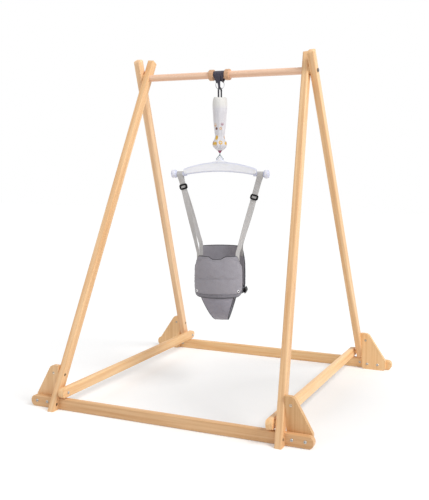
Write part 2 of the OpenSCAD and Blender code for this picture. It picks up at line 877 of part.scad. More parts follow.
module foot_eye()
    color(steel)
        turned() {
            translate([0, 0, foot_eye_z])
                rotate([0, 90, 0])
                    wire_ring(foot_eye_r, stem_r);
            translate([0, 0, foot_eye_z + foot_eye_r])
                cylinder(r = stem_r, h = spring_low - foot_eye_z - foot_eye_r + past);
            translate([0, 0, spring_low])
                cylinder(r = plug_r, h = plug_h);
        }

module wire_triangle()
    color([0.58, 0.64, 0.66])
        turned()
            bent_wire([
                [-triangle_half, triangle_low],
                [triangle_half, triangle_low],
                [0, triangle_apex]
            ], triangle_bend, triangle_r);

// Spreader bar: an arched plastic beam with a crest, necks for the straps and end knobs
function beam_top(x) = spreader_top - spreader_drop * pow(x / shoulder_x, 2);
function beam_low(x) = spreader_top - spreader_h
    - (spreader_drop + shoulder_h - spreader_h) * pow(x / shoulder_x, 2);

module spreader_bar() {
    steps = 16;
    xs = [for (i = [-steps : steps]) shoulder_x * i / steps];
    color(white_plastic)
        turned()
            difference() {
                union() {
                    rotate([90, 0, 0])
                        linear_extrude(spreader_t, center = true)
                            polygon(concat(
                                [for (x = xs) [x, beam_low(x)]],
                                [for (i = [2 * steps : -1 : 0]) [xs[i], beam_top(xs[i])]]
                            ));
                    rotate([90, 0, 0])
                        linear_extrude(crest_t, center = true)
                            polygon(rounded([
                                [-30, spreader_top - 6],
                                [30, spreader_top - 6],
                                [30, beam_top(30)],
                                [8.2, spreader_top + 3.5],
                                [0, triangle_low + crest_h],
                                [-8.2, spreader_top + 3.5],
                                [-30, beam_top(30)]
                            ], [0, 0, 0, 5, 2, 5, 0]));
                    for (side = [LEFT, RIGHT])
                        mirror([side < 0 ? 1 : 0, 0, 0])
                            translate([0, 0, neck_z])
                                spreader_end();
                }
                translate([0, 0, triangle_low])
                    rod_x(triangle_r + run_fit, -triangle_half, triangle_half);
            }
}

module spreader_end() {
    knob_x = spreader_len / 2 - knob_w / 2;
    rod_x(neck_d / 2, shoulder_x - 10, knob_x);
    translate([knob_x, 0, 0])
        rotate([0, 90, 0])
            rotate_extrude()
                intersection() {
                    rounded_rect(knob_d, knob_w, min(7, knob_w / 2 - 1));
                    translate([0, -knob_w])
                        square([knob_d, 2 * knob_w]);
                }
}

// Seat straps: each goes from the front panel over a neck of the spreader to the back panel.
// Below its slider the two layers part to the front and to the back.
strap_in = 1.5;
strap_loop_r = neck_d / 2 + hang_gap + strap_t / 2;
strap_join = 26;
// Angle past the level of the neck at which the strap leaves it for the join
strap_join_z = strap_join * cos(strap_lean);
strap_wrap = atan2(strap_join_z, strap_in) - acos(strap_loop_r / norm([strap_in, strap_join_z]));
panel_in = seat_r - panel_t / 2;
strap_seat_r = sqrt(pow(panel_in - hang_gap, 2) - pow(strap_w / 2, 2)) - strap_t / 2;
front_strap_a = 52;
back_strap_a = 122;
strap_tuck = 26;
strap_bend = 18;

function strap_dir(s) = [-sin(strap_lean) * s, 0, -cos(strap_lean)];
function strap_across(s) = [cos(strap_lean), 0, -sin(strap_lean) * s];
function neck_at(s) = [s * neck_x, 0, neck_z];
function twisted(v) = [
    v.x * cos(seat_twist) - v.y * sin(seat_twist),
    v.x * sin(seat_twist) + v.y * cos(seat_twist),
    v.z
];
function seat_point(a, r, z, s) = twisted([s * r * sin(a), -r * cos(a), z]);
function seat_across(a, s) = twisted([cos(a), s * sin(a), 0]);
function slider_at(s) = s == LEFT ? left_slider_at : right_slider_at;

// Leg of a strap from the slider down to a panel; y is the side of the layer, first from the slider
function strap_leg(s, y, a, z) =
    let (
        top = neck_at(s) + strap_dir(s) * (slider_at(s) + slider_h / 2 + 3) + [0, y * strap_in, 0],
        low = seat_point(a, strap_seat_r, z + strap_bend, s),
        hem = seat_point(a, strap_seat_r, z - strap_tuck, s),
        turn = a > 90 ? a - 180 : a
    )
    concat(
        [for (t = [0 : 0.25 : 1]) [mix(top, low, t), mix(strap_across(s), seat_across(turn, s), smooth(t))]],
        [[hem, seat_across(turn, s)]]
    );

function strap_path(s) =
    let (
        join = neck_at(s) + strap_dir(s) * strap_join,
        front = strap_leg(s, -1, front_strap_a, panel_high(front_cut, front_strap_a)),
        back = strap_leg(s, 1, back_strap_a, panel_high(back_cut, 180 - back_strap_a)),
        over = [for (i = [0 : 12]) let (a = mix(180 + strap_wrap, -strap_wrap, i / 12))
            [neck_at(s) + strap_loop_r * [0, cos(a), sin(a)], [1, 0, 0]]]
    )
    concat(
        [for (i = [len(front) - 1 : -1 : 0]) front[i]],
        [[join - [0, strap_in, 0], strap_across(s)]],
        over,
        [[join + [0, strap_in, 0], strap_across(s)]],
        back
    );

module seat_strap(s) {
    path = strap_path(s);
    n = len(path);
    color(grey_web)
        turned()
            loft([for (i = [0 : n - 1]) let (
                    before = path[max(0, i - 1)][0],
                    after = path[min(n - 1, i + 1)][0],
                    travel = unit(after - before),
                    w = path[i][1],
                    flat = unit(w - travel * (w * travel))
                )
                band(path[i][0], travel, flat * strap_w, strap_t)]);
}

// Slider: a moulded loop round both layers, with a window each side
module slider(s) {
    w = strap_w + 7;
    slot_t = 2 * strap_in + strap_t + 1;
    d = slot_t + 4;
    p = neck_at(s) + strap_dir(s) * slider_at(s);
    color(charcoal)
        turned()
            translate(p)
                rotate([0, strap_lean * s, 0])
                    difference() {
                        rotate([90, 0, 0])
                            linear_extrude(d, center = true)
                                rounded_rect(w, slider_h, 6);
                        cube([strap_w + 1, slot_t, slider_h + 2 * past], center = true);
                        rotate([90, 0, 0])
                            linear_extrude(d + 2 * past, center = true)
                                rounded_rect(strap_w - 1, slider_h - 11, 3);
                    }
}

// Seat panels: padded cloth bent round the seat, with a smooth inner face and thinner hems.
// A panel is its half angle, the angle where its corners start, its top, the drop of its top corners,
// the rise of its lower corners and the dip of its top edge; angles run from the middle of the panel.
front_cut = [66, 44, seat_top, 36, 22, 9];
back_cut = [75, 52, seat_top + back_rise, 50, 22, 0];
dip_flat = 7;
dip_a = 20;

function corner_share(cut, a) = clamp01((abs(a) - cut[1]) / (cut[0] - cut[1]));
function panel_low(cut, a) = seat_low + cut[4] * (1 - sqrt(1 - 0.96 * pow(corner_share(cut, a), 2)));
function panel_high(cut, a) =
    cut[2] - cut[3] * smooth(corner_share(cut, a)) - cut[5] * (1 - smooth(max(0, abs(a) - dip_flat) / (dip_a - dip_flat)));
// Outer face of a panel at an angle, at a share k of its height
function panel_out(cut, a, k) =
    panel_in + panel_t * (1 - 0.4 * pow(corner_share(cut, a), 6)) * (0.45 + 0.55 * pow(sin(180 * k), 0.6));

function panel_ring(cut, a, facing) =
    let (
        n = 7,
        out = facing * [sin(a), -cos(a), 0],
        z = function (k) [0, 0, mix(panel_low(cut, a), panel_high(cut, a), k)]
    )
    concat(
        [for (i = [0 : n]) out * panel_in + z(i / n)],
        [for (i = [n : -1 : 0]) out * panel_out(cut, a, i / n) + z(i / n)]
    );

module panel(cut, facing)
    color(grey_cloth)
        seated()
            loft([for (i = [-14 : 14]) panel_ring(cut, cut[0] * i / 14, facing)]);

module front_panel()
    panel(front_cut, 1);

module back_panel()
    panel(back_cut, -1);

// Crotch panel: a sling from the front panel to the back panel, tucked inside both
crotch_t = 4;
crotch_r = panel_in - hang_gap - crotch_t / 2;
crotch_tuck = 16;

function crotch_ring(b) =
    let (
        w = mix(crotch_w, crotch_low_w, sin(b)) / 2,
        n = 6,
        across = [for (i = [-n : n]) w * i / n],
        at = function (x, side) let (r = sqrt(crotch_r * crotch_r - x * x), h = side * crotch_t / 2)
            [x + crotch_shift * sin(b), -(r + h) * cos(b), seat_low - (crotch_drop - crotch_t / 2 + h) * sin(b)]
    )
    concat([for (x = across) at(x, -1)], [for (i = [2 * n : -1 : 0]) at(across[i], 1)]);

function crotch_hem(b) = [for (p = crotch_ring(b)) p + [0, 0, crotch_tuck]];

module crotch_panel()
    color(grey_cloth)
        seated()
            loft(concat(
                [crotch_hem(180)],
                [for (i = [20 : -1 : 0]) crotch_ring(9 * i)],
                [crotch_hem(0)]
            ));

// Press studs at the lower corners of the front panel
snap_a = 50;
snap_share = 0.14;
snap_t = 2;
module panel_snaps() {
    face = panel_out(front_cut, snap_a, snap_share + 0.03) + hang_gap;
    z = mix(panel_low(front_cut, snap_a), panel_high(front_cut, snap_a), snap_share);
    color(steel)
        seated()
            for (s = [LEFT, RIGHT])
                rotate([0, 0, s * snap_a])
                    translate([0, 0, z])
                        rod_y(4.5, -face - snap_t, -face);
}

// Waist belts between the panels, sewn inside their side edges; the right one has a closed buckle
belt_z = seat_low + 18;
belt_t = 2;
belt_tuck = 8;
belt_r = panel_in - hang_gap - belt_t / 2;
buckle_a = 84;
buckle_t = 11;
module waist_belt(s)
    color(charcoal)
        seated()
            mirror([s < 0 ? 1 : 0, 0, 0])
                rotate([0, 0, front_cut[0] - belt_tuck - 90])
                    translate([0, 0, belt_z - belt_h / 2])
                        rotate_extrude(angle = 180 - front_cut[0] - back_cut[0] + 2 * belt_tuck)
                            translate([belt_r - belt_t / 2, 0])
                                square([belt_t, belt_h]);

module belt_buckle()
    color(charcoal)
        seated()
            rotate([0, 0, buckle_a - 90])
                translate([belt_r + belt_t / 2 + hang_gap + buckle_t / 2, 0, belt_z])
                    rotate([90, 0, 90])
                        linear_extrude(buckle_t, center = true)
                            rounded_rect(36, belt_h + 4, 6);

leg(FRONT, LEFT);  // front_left_leg
leg(FRONT, RIGHT);  // front_right_leg
rail(FRONT);  // front_rail
gusset(FRONT, LEFT);  // front_left_gusset
gusset(FRONT, RIGHT);  // front_right_gusset
top_bar();
bar_collar(LEFT);  // left_bar_collar
bar_collar(RIGHT);  // right_bar_collar
pivot_bolts();
pivot_washers();
bar_barrel_nuts();
both_sides(FRONT, "gusset_bolt");  // front_gusset_bolts
both_sides(FRONT, "gusset_nut");  // front_gusset_nuts
both_sides(FRONT, "toe_bolt");  // front_toe_bolts
both_sides(FRONT, "toe_nut");  // front_toe_nuts
both_sides(FRONT, "rail_bolt");  // front_rail_bolts
both_sides(FRONT, "rail_nut");  // front_rail_nuts
spacers(FRONT);  // front_spacers
leg(REAR, LEFT);  // rear_left_leg
leg(REAR, RIGHT);  // rear_right_leg
rail(REAR);  // rear_rail
gusset(REAR, LEFT);  // rear_left_gusset
gusset(REAR, RIGHT);  // rear_right_gusset
both_sides(REAR, "gusset_bolt");  // rear_gusset_bolts
both_sides(REAR, "gusset_nut");  // rear_gusset_nuts
both_sides(REAR, "toe_bolt");  // rear_toe_bolts
both_sides(REAR, "toe_nut");  // rear_toe_nuts
both_sides(REAR, "rail_bolt");  // rear_rail_bolts
both_sides(REAR, "rail_nut");  // rear_rail_nuts
spacers(REAR);  // rear_spacers
side_rail_pivots();
side_rail(LEFT);  // left_side_rail
side_rail(RIGHT);  // right_side_rail
side_rail_bolt(LEFT);  // left_side_rail_bolt
side_rail_bolt(RIGHT);  // right_side_rail_bolt
hanging_strap();
strap_ring();
carabiner();
carabiner_gate();
gate_pin();
spring_hook();
coil_spring();
safety_cord();
spring_cover();
spring_tip();
foot_eye();
wire_triangle();
spreader_bar();
seat_strap(LEFT);  // left_strap
seat_strap(RIGHT);  // right_strap
slider(LEFT);  // left_slider
slider(RIGHT);  // right_slider
front_panel();
back_panel();
crotch_panel();
panel_snaps();
waist_belt(LEFT);  // left_waist_belt
waist_belt(RIGHT);  // right_waist_belt
belt_buckle();
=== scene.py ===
import json
import math

import bmesh
import bpy
import numpy as np
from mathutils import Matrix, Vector


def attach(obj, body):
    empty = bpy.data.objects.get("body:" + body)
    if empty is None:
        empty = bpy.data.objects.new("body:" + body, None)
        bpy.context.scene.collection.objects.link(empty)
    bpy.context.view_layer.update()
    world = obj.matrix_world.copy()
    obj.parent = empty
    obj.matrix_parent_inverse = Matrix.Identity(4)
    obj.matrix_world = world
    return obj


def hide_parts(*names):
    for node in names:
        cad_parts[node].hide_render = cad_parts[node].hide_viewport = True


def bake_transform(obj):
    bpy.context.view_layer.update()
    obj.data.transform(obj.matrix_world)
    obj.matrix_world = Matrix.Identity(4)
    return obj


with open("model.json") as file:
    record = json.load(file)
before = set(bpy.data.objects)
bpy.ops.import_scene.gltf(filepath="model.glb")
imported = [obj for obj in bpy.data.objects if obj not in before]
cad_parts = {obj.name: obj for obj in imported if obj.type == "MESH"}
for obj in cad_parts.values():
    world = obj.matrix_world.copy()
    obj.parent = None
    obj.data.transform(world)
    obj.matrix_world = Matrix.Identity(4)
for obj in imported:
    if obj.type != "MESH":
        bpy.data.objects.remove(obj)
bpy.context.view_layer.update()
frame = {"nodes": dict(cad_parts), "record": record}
nodes = frame["nodes"]
scene = bpy.context.scene

# Camera at the photograph's viewing angle

camera = bpy.data.objects.new("camera", bpy.data.cameras.new("camera"))
scene.collection.objects.link(camera)
camera.location = (1.0953, -2.4748, 0.8071)
camera.rotation_euler = (math.radians(83.22), 0.0, math.radians(24.52))
camera.data.lens = 55.46
camera.data.sensor_width = 36.0
camera.data.shift_y = 0.004
scene.camera = camera
scene.view_settings.view_transform = "Standard"

# Floor, world and lamps; each lamp has a name, a place, a size and a power

FLOOR = 9.0
SKY = 0.50
GLOW_MIDDLE = (0.25, -0.03, 0.0)
LAMPS = (("key", (4.1, -0.7, 4.6), 2.7, 236.0), ("fill", (-2.8, -3.3, 2.6), 2.2, 28.0))
LAMP_AIM = (0.0, 0.0, 0.55)

# Sizes in metres, as the solids have them; turns are in radians, angles round the seat in degrees

SIDES = ((-1, "left"), (1, "right"))
HANG_X = -0.013
JUMPER_TURN = math.radians(12)
SEAT_TURN = math.radians(17)

# Stand and its fasteners; -1 is the front half and 1 the rear

BAR_Z = 1.1
LEG_LEAN = math.radians(23.7)
LEG_TILT = {-1: math.radians(4.8), 1: math.radians(3.386)}
PLATE_Y = {-1: -0.44285, 1: 0.44204}
HEAD, PIVOT_HEAD, DOME = 0.002, 0.0025, 1.25
NUT_SHANK = 0.004

# Hanging strap, its ring and its loose end

HANG_STRAP_W, RING_STRAP_W, HANG_STRAP_T = 0.041, 0.0270, 0.0018
BAR_TURN_R, RING_TURN_R = 0.0133, 0.0035
RING_Z, RING_R = 1.067, 0.016
TAIL_TOP, TAIL_LOW, TAIL_LENGTH = 1.0985, 1.0535, 0.048
TAIL_W, TAIL_END_W, TAIL_MAP_W = 0.022, 0.0085, 0.02
TAIL_X, TAIL_END_X, TAIL_Y, TAIL_BACK = -0.004, 0.0012, -0.0142, 0.0062

# Spring, cord and sleeve; a level of the sleeve has its share of the way down, radius and depth of folds

SPRING_TOP, SPRING_LOW = 0.9856, 0.8586
SPRING_TURNS, SPRING_R, SPRING_WIRE_R = 16, 0.011, 0.0015
CORD_R, CORD_BOW, CORD_PLUG = 0.002, 0.0053, 0.0123
SLEEVE_TOP, SLEEVE_LOW, SLEEVE_R, SLEEVE_WALL = 1.0236, 0.8416, 0.025, 0.0012
SLEEVE_FLAT, SLEEVE_MEAN_R, SPRING_ROOM = (0.165, 0.19), 0.0215, 0.0140
SLEEVE_LEVELS = np.array([
    [0, 0.79, 0.012], [0.025, 0.90, 0.012], [0.08, 0.99, 0.012], [0.17, 1.02, 0.012], [0.34, 0.93, 0.02],
    [0.52, 0.824, 0.024], [0.66, 0.728, 0.032], [0.75, 0.664, 0.036], [0.79, 0.736, 0.056],
    [0.86, 0.92, 0.088], [0.92, 0.904, 0.088], [0.97, 0.64, 0.056], [1, 0.384, 0]])

# Spreader bar, seat straps and sliders; -1 is the left side and 1 the right

SPREADER_TOP, SPREADER_H, SPREADER_DROP = 0.80156, 0.034, 0.024
SPREADER_T, SPREADER_HALF = 0.016, 0.175
SHOULDER_X, SHOULDER_H = 0.131, 0.023
NECK_X, NECK_Z, NECK_R, KNOB_R = 0.144, 0.760055, 0.008, 0.015
KNOB_LENGTH, KNOB_EDGE, BEAM_EDGE = 0.020, 0.0072, 0.0052
STRAP_LEAN = math.radians(15)
STRAP_W, STRAP_T, STRAP_WRAP_R, STRAP_IN = 0.0205, 0.0015, 0.0091, 0.0868
STRAP_FRONT, STRAP_BACK = 52, 58
STRAP_JOIN, STRAP_PART, STRAP_OVER_PANEL, STRAP_IN_PANEL = 0.026, 0.013, 0.018, 0.026
SLIDER_AT = {-1: 0.047, 1: 0.083}
SLIDER_HALF_W, SLIDER_HALF_H, SLIDER_GAP = 0.0111, 0.0071, 0.0035
SLIDER_BAR_W, SLIDER_BAR_T = 0.0058, 0.0028
SLIDER_POST_X, SLIDER_POST_W, SLIDER_POST_T = 0.0122, 0.011, 0.0036

# Seat panels, studs, crotch panel, belts and buckle

SEAT_LOW = 0.335
PANEL_IN, PANEL_T, PANEL_MEAN_R = 0.0885, 0.007, 0.092
FRONT_CUT = dict(half=66, corner=44, top=0.478, drop=0.036, rise=0.022, dip=0.009)
BACK_CUT = dict(half=75, corner=52, top=0.500, drop=0.050, rise=0.022, dip=0.0)
HEM, FRONT_CREASE = 0.013, 0.066
SETTLE_CAP = 0.0016
PANEL_PIPING_R, SLING_PIPING_R = 0.0016, 0.0019
STUD_ANGLE, STUD_Z, STUD_HOLD = 50, 0.3548, 0.016
SLING_R, SLING_DROP, SLING_T, SLING_TUCK, SLING_SHIFT = 0.0862, 0.090, 0.004, 0.016, 0.010
SLING_HALF_TOP, SLING_HALF_LOW = 0.057, 0.022
BELT_Z, BELT_R, BELT_W, BELT_T = 0.353, 0.0872, 0.0196, 0.0018
BELT_FRONT, BELT_BACK = 58.5, 112.5
BUCKLE_R, BUCKLE_AT = 0.0940, 84
BUCKLE_HALF, BUCKLE_HALF_T, BUCKLE_HALF_H = 0.018, 0.0053, 0.0118


# Arrays, paths and meshes

def eased(t):
    """Smooth step: 3t^2 - 2t^3 of t held between 0 and 1."""
    t = np.clip(t, 0.0, 1.0)
    return t * t * (3.0 - 2.0 * t)


def mixed(a, b, t):
    """Straight mix of two values or arrays by t."""
    return a + (b - a) * t


def bent(value, power):
    """A value's size raised to a power, with its sign kept."""
    return np.sign(value) * np.abs(value) ** power


def bell(value, middle, reach):
    """Bell curve: e to the minus square of the distance from a middle over a reach."""
    return np.exp(-((value - middle) / reach) ** 2)


def angles(count):
    """Angles spaced evenly over one full turn, the first at nought."""
    return np.linspace(0.0, 2 * np.pi, count, endpoint=False)


def unit(v):
    """Vectors along the last axis brought to length one."""
    return v / np.maximum(np.linalg.norm(v, axis=-1, keepdims=True), 1e-12)


def turned(vectors, turn):
    """Turns points or directions about the vertical by an angle."""
    c, s = math.cos(turn), math.sin(turn)
    x, y, z = vectors[..., 0], vectors[..., 1], vectors[..., 2]
    return np.stack([c * x - s * y, s * x + c * y, z], -1)


def hung(points, turn):
    """Turns points about the vertical and moves them to the jumper's place under the bar."""
    return turned(points, turn) + [HANG_X, 0.0, 0.0]


def run_of(path, closed=False):
    """Distance along a path at each of its points; a closed one also gives its whole round as the last
    value."""
    following = np.roll(path, -1, 0) if closed else path[1:]
    steps = np.linalg.norm(following - (path if closed else path[:-1]), axis=1)
    return np.concatenate([[0.0], np.cumsum(steps)])


def evenly(path, count, *others):
    """Points spaced evenly along a path by straight interpolation, and arrays that go with it at the same
    places."""
    run = run_of(path)
    at = np.linspace(0.0, run[-1], count)
    out = [np.stack([np.interp(at, run, p[:, i]) for i in range(3)], 1) for p in (path,) + others]
    return out if others else out[0]


def relaxed(path, passes):
    """Rounds the corners of a path: each pass moves every inner point to a quarter, half, quarter
    mean."""
    for _ in range(passes):
        inner = 0.25 * path[:-2] + 0.5 * path[1:-1] + 0.25 * path[2:]
        path = np.concatenate([path[:1], inner, path[-1:]])
    return path


def travel_of(path, closed=False):
    """Unit direction of travel at each point of a path, from its neighbours."""
    if closed:
        return unit(np.roll(path, -1, 0) - np.roll(path, 1, 0))
    return unit(np.gradient(path, axis=0))


def circle_profile(radius, count):
    """Round profile: radius times the cosine and sine of evenly spaced angles."""
    a = angles(count)
    return radius * np.stack([np.cos(a), np.sin(a)], 1)


def flat_profile(width, thick, count, power=0.35):
    """Flat strap profile: half width times a cosine and half thickness times a sine, both raised to a low
    power, which squares the ellipse into a strip with soft edges."""
    a = angles(count) + 1e-4
    return np.stack([width / 2 * bent(np.cos(a), 0.55), thick / 2 * bent(np.sin(a), power)], 1)


def carried(path, across, profile, closed=False):
    """Profile carried along a path: profile point (a, b) goes to path + a * across + b * up, where across
    is squared to the direction of travel and up is travel x across."""
    travel = travel_of(path, closed)
    across = unit(across - travel * np.sum(across * travel, -1, keepdims=True))
    up = np.cross(travel, across)
    return path[:, None] + profile[None, :, :1] * across[:, None] + profile[None, :, 1:] * up[:, None]


def circle_about(axis, count):
    """Angles spaced evenly round an axis, and the unit directions there, square to the axis."""
    side = unit(np.cross(axis, [0.0, 0.0, 1.0] if abs(axis[2]) < 0.9 else [1.0, 0.0, 0.0]))
    a = angles(count)
    return a, np.cos(a)[:, None] * side + np.sin(a)[:, None] * np.cross(axis, side)


def through(x, xs, ys):
    """Smooth curve through given points: cubic Hermite pieces with the slope at each point from its
    neighbours."""
    slope = np.gradient(ys, xs)
    i = np.clip(np.searchsorted(xs, x) - 1, 0, len(xs) - 2)
    h = xs[i + 1] - xs[i]
    t = (x - xs[i]) / h
    return ((2 * t**3 - 3 * t**2 + 1) * ys[i] + (t**3 - 2 * t**2 + t) * h * slope[i]
            + (3 * t**2 - 2 * t**3) * ys[i + 1] + (t**3 - t**2) * h * slope[i + 1])


def rounded_rim(distance, reach=0.0032):
    """Share of full thickness near an edge: a quarter circle over the reach, then one."""
    return np.sqrt(1 - (1 - np.clip(distance / reach, 0.0, 1.0)) ** 2)


def lay_uv(run, girth):
    """UV map of a carried profile in metres: distance round the profile, distance along the path."""
    return np.stack(np.meshgrid(girth, run), -1)


def strip_uv(run, profile):
    """UV map of a strap in metres: place across the strap from its middle, distance along it."""
    return lay_uv(run, np.concatenate([profile[:, 0], profile[:1, 0]]))


def grid_faces(rows, cols, wrap_rows=False, wrap_cols=False):
    """Corner numbers of the faces between neighbouring points of a rows by cols grid, with the corners'
    own row and column numbers left unwrapped for the UV map."""
    i = np.arange(rows if wrap_rows else rows - 1)[:, None, None]
    j = np.arange(cols if wrap_cols else cols - 1)[None, :, None]
    r, c = np.broadcast_arrays(i + np.array([0, 1, 1, 0]), j + np.array([0, 0, 1, 1]))
    return ((r % rows) * cols + c % cols).reshape(-1, 4), r.reshape(-1, 4), c.reshape(-1, 4)


def surface(points, uv=None, wrap_rows=False, wrap_cols=False, caps=False):
    """A grid of points as loose parts of a mesh: points, faces and one UV pair for each face corner. Caps
    close the first and last row with a fan round its middle."""
    rows, cols = points.shape[:2]
    faces, r, c = grid_faces(rows, cols, wrap_rows, wrap_cols)
    if uv is None:
        uv = np.zeros((rows + 1, cols + 1, 2))
    corners = uv[np.minimum(r, uv.shape[0] - 1), np.minimum(c, uv.shape[1] - 1)]
    faces, corners = faces.tolist(), corners.tolist()
    flat = points.reshape(-1, 3)
    if caps:
        flat = np.concatenate([flat, points[:1].mean(1), points[-1:].mean(1)])
        n = rows * cols
        ring = np.arange(cols)
        first = np.stack([np.full(cols, n), ring, (ring + 1) % cols], 1)
        last = np.stack([np.full(cols, n + 1), n - cols + (ring + 1) % cols, n - cols + ring], 1)
        faces += first.tolist() + last.tolist()
        for row in (0, rows - 1):
            corners += np.broadcast_to(uv[row, 0], (cols, 3, 2)).tolist()
    return flat, faces, corners


def piece(name, parts, material, body=None, replaces=(), merge=0.0, hold=None):
    """One object from one or more surfaces, at the origin with its place in its mesh, smooth shaded. With
    a merge distance, corners at one place become one and the closed faces are turned outwards. Hold marks
    points that stay where they are when the cloth settles."""
    if isinstance(parts, tuple):
        parts = [parts]
    starts = np.cumsum([0] + [len(p[0]) for p in parts])
    points = np.concatenate([p[0] for p in parts])
    faces = [[k + int(s) for k in f] for p, s in zip(parts, starts) for f in p[1]]
    corners = [uv for p in parts for f in p[2] for uv in f]
    mesh = bpy.data.meshes.new(name)
    mesh.from_pydata(points.tolist(), [], faces)
    mesh.uv_layers.new(name="lay").data.foreach_set("uv", np.array(corners, np.float32).ravel())
    mesh.polygons.foreach_set("use_smooth", np.ones(len(faces), bool))
    mesh.materials.append(material)
    if hold is not None:
        mesh.attributes.new("hold", "FLOAT", "POINT").data.foreach_set("value", hold)
    obj = bpy.data.objects.new(name, mesh)
    scene.collection.objects.link(obj)
    if merge:
        bm = bmesh.new()
        bm.from_mesh(mesh)
        bmesh.ops.remove_doubles(bm, verts=bm.verts, dist=merge)
        bmesh.ops.recalc_face_normals(bm, faces=bm.faces)
        bm.to_mesh(mesh)
        bm.free()
    mesh.update()
    if body:
        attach(obj, body)
    if replaces:
        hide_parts(*replaces)
    return obj


CLOTH = dict(vertex_group_mass="held", quality=6, mass=0.25, tension_stiffness=12.0,
             compression_stiffness=12.0, shear_stiffness=4.0, bending_stiffness=0.3, shrink_min=-0.035,
             use_pressure=True, uniform_pressure_force=4.0)


def settled(obj, cap, steps=18):
    """Lets a pad's cloth settle: where it isn't held it is cut a little too large, and pressure inside
    swells it for some steps; then each point moves that way, at most as far as the cap."""
    mesh = obj.data
    count = len(mesh.vertices)
    hold = np.empty(count, np.float32)
    mesh.attributes["hold"].data.foreach_get("value", hold)
    mesh.attributes.remove(mesh.attributes["hold"])
    start, end = np.empty(3 * count, np.float32), np.empty(3 * count, np.float32)
    mesh.vertices.foreach_get("co", start)
    kept = obj.vertex_groups.new(name="held")
    kept.add(np.flatnonzero(hold > 0.5).tolist(), 1.0, "REPLACE")
    cloth = obj.modifiers.new("settle", "CLOTH")
    cloth.collision_settings.use_collision = False
    for label, value in CLOTH.items():
        setattr(cloth.settings, label, value)
    cloth.settings.effector_weights.gravity = 0.0
    for step in range(1, steps + 1):
        scene.frame_set(step)
    obj.evaluated_get(bpy.context.evaluated_depsgraph_get()).data.vertices.foreach_get("co", end)
    obj.modifiers.remove(cloth)
    obj.vertex_groups.remove(kept)
    scene.frame_set(1)
    move = (end - start).reshape(-1, 3)
    far = np.linalg.norm(move, axis=1, keepdims=True)
    move *= np.minimum(1.0, cap / np.maximum(far, 1e-9))
    mesh.vertices.foreach_set("co", start + move.ravel())
    mesh.update()


# Shader nodes

WHITE, BLACK = (1, 1, 1, 1), (0, 0, 0, 1)


def srgb(r, g, b):
    """A colour given in 0 to 255 as the shader's linear values."""
    c = np.array([r, g, b]) / 255.0
    lin = np.where(c <= 0.04045, c / 12.92, ((c + 0.055) / 1.055) ** 2.4)
    return (float(lin[0]), float(lin[1]), float(lin[2]), 1.0)


def toned(colour, share):
    """A linear colour made darker or lighter by a share, at most white."""
    return tuple(min(1.0, share * c) for c in colour[:3]) + (1.0,)


def put(tree, place, value):
    """Links a socket to a node's input, or sets a plain value there."""
    if isinstance(value, bpy.types.NodeSocket):
        tree.links.new(value, place)
    else:
        place.default_value = value


def feed(tree, node, **inputs):
    """Fills a node's inputs by name, with spaces written as underscores."""
    for label, value in inputs.items():
        put(tree, node.inputs[label.replace("_", " ")], value)


def add(tree, kind, inputs=(), named=None, **settings):
    """A shader node with its settings, its inputs in their order and further inputs by name."""
    node = tree.nodes.new(kind)
    for label, value in settings.items():
        setattr(node, label, value)
    for place, value in zip(node.inputs, inputs):
        put(tree, place, value)
    feed(tree, node, **(named or {}))
    return node


def calc(tree, operation, *values, clamp=False):
    """One Math node's output."""
    return add(tree, "ShaderNodeMath", values, operation=operation, use_clamp=clamp).outputs[0]


def times(tree, a, b, clamp=False):
    """Product of two values."""
    return calc(tree, "MULTIPLY", a, b, clamp=clamp)


def plus(tree, first, *others):
    """Sum of values, added one after another."""
    for value in others:
        first = calc(tree, "ADD", first, value)
    return first


def minus(tree, a, b, clamp=False):
    """Difference of two values."""
    return calc(tree, "SUBTRACT", a, b, clamp=clamp)


def blend_colour(tree, share, a, b):
    """One colour Mix node's output."""
    node = add(tree, "ShaderNodeMix", (share,), data_type="RGBA", blend_type="MIX")
    put(tree, node.inputs[6], a)
    put(tree, node.inputs[7], b)
    return node.outputs[2]


def between(tree, value, low, high, to_low=0.0, to_high=1.0):
    """One clamped Map Range node's output."""
    return add(tree, "ShaderNodeMapRange", (value, low, high, to_low, to_high)).outputs[0]


def noise(tree, vector, scale, detail, **more):
    """One Noise Texture's value."""
    named = dict(Vector=vector, Scale=scale, Detail=detail, **more)
    return add(tree, "ShaderNodeTexNoise", named=named).outputs[0]


def laid(tree, vector, **more):
    """A vector moved, turned or scaled by a Mapping node."""
    return add(tree, "ShaderNodeMapping", named=dict(Vector=vector, **more)).outputs[0]


def axes(tree, vector):
    """The three parts of a vector."""
    return add(tree, "ShaderNodeSeparateXYZ", (vector,)).outputs


def waves(tree, value, length):
    """Sine of a run in metres, with one wave in each length."""
    return calc(tree, "SINE", times(tree, value, 2 * math.pi / length))


def bumped(tree, height, distance, strength):
    """Normal from a Bump node."""
    named = dict(Height=height, Distance=distance, Strength=strength)
    return add(tree, "ShaderNodeBump", named=named).outputs[0]


def group(name, inputs, outputs):
    """An empty shader group with named sockets: pairs of a name and V, F or C for vector, value or
    colour."""
    kinds = {"V": "NodeSocketVector", "F": "NodeSocketFloat", "C": "NodeSocketColor"}
    tree = bpy.data.node_groups.new(name, "ShaderNodeTree")
    for direction, sockets in (("INPUT", inputs), ("OUTPUT", outputs)):
        for label, kind in sockets:
            tree.interface.new_socket(name=label, in_out=direction, socket_type=kinds[kind])
    return tree, tree.nodes.new("NodeGroupInput").outputs, tree.nodes.new("NodeGroupOutput")


def use(tree, shared, **inputs):
    """Places a shared group in a material with its own values."""
    node = tree.nodes.new("ShaderNodeGroup")
    node.node_tree = shared
    feed(tree, node, **inputs)
    return node.outputs


# Shared patterns

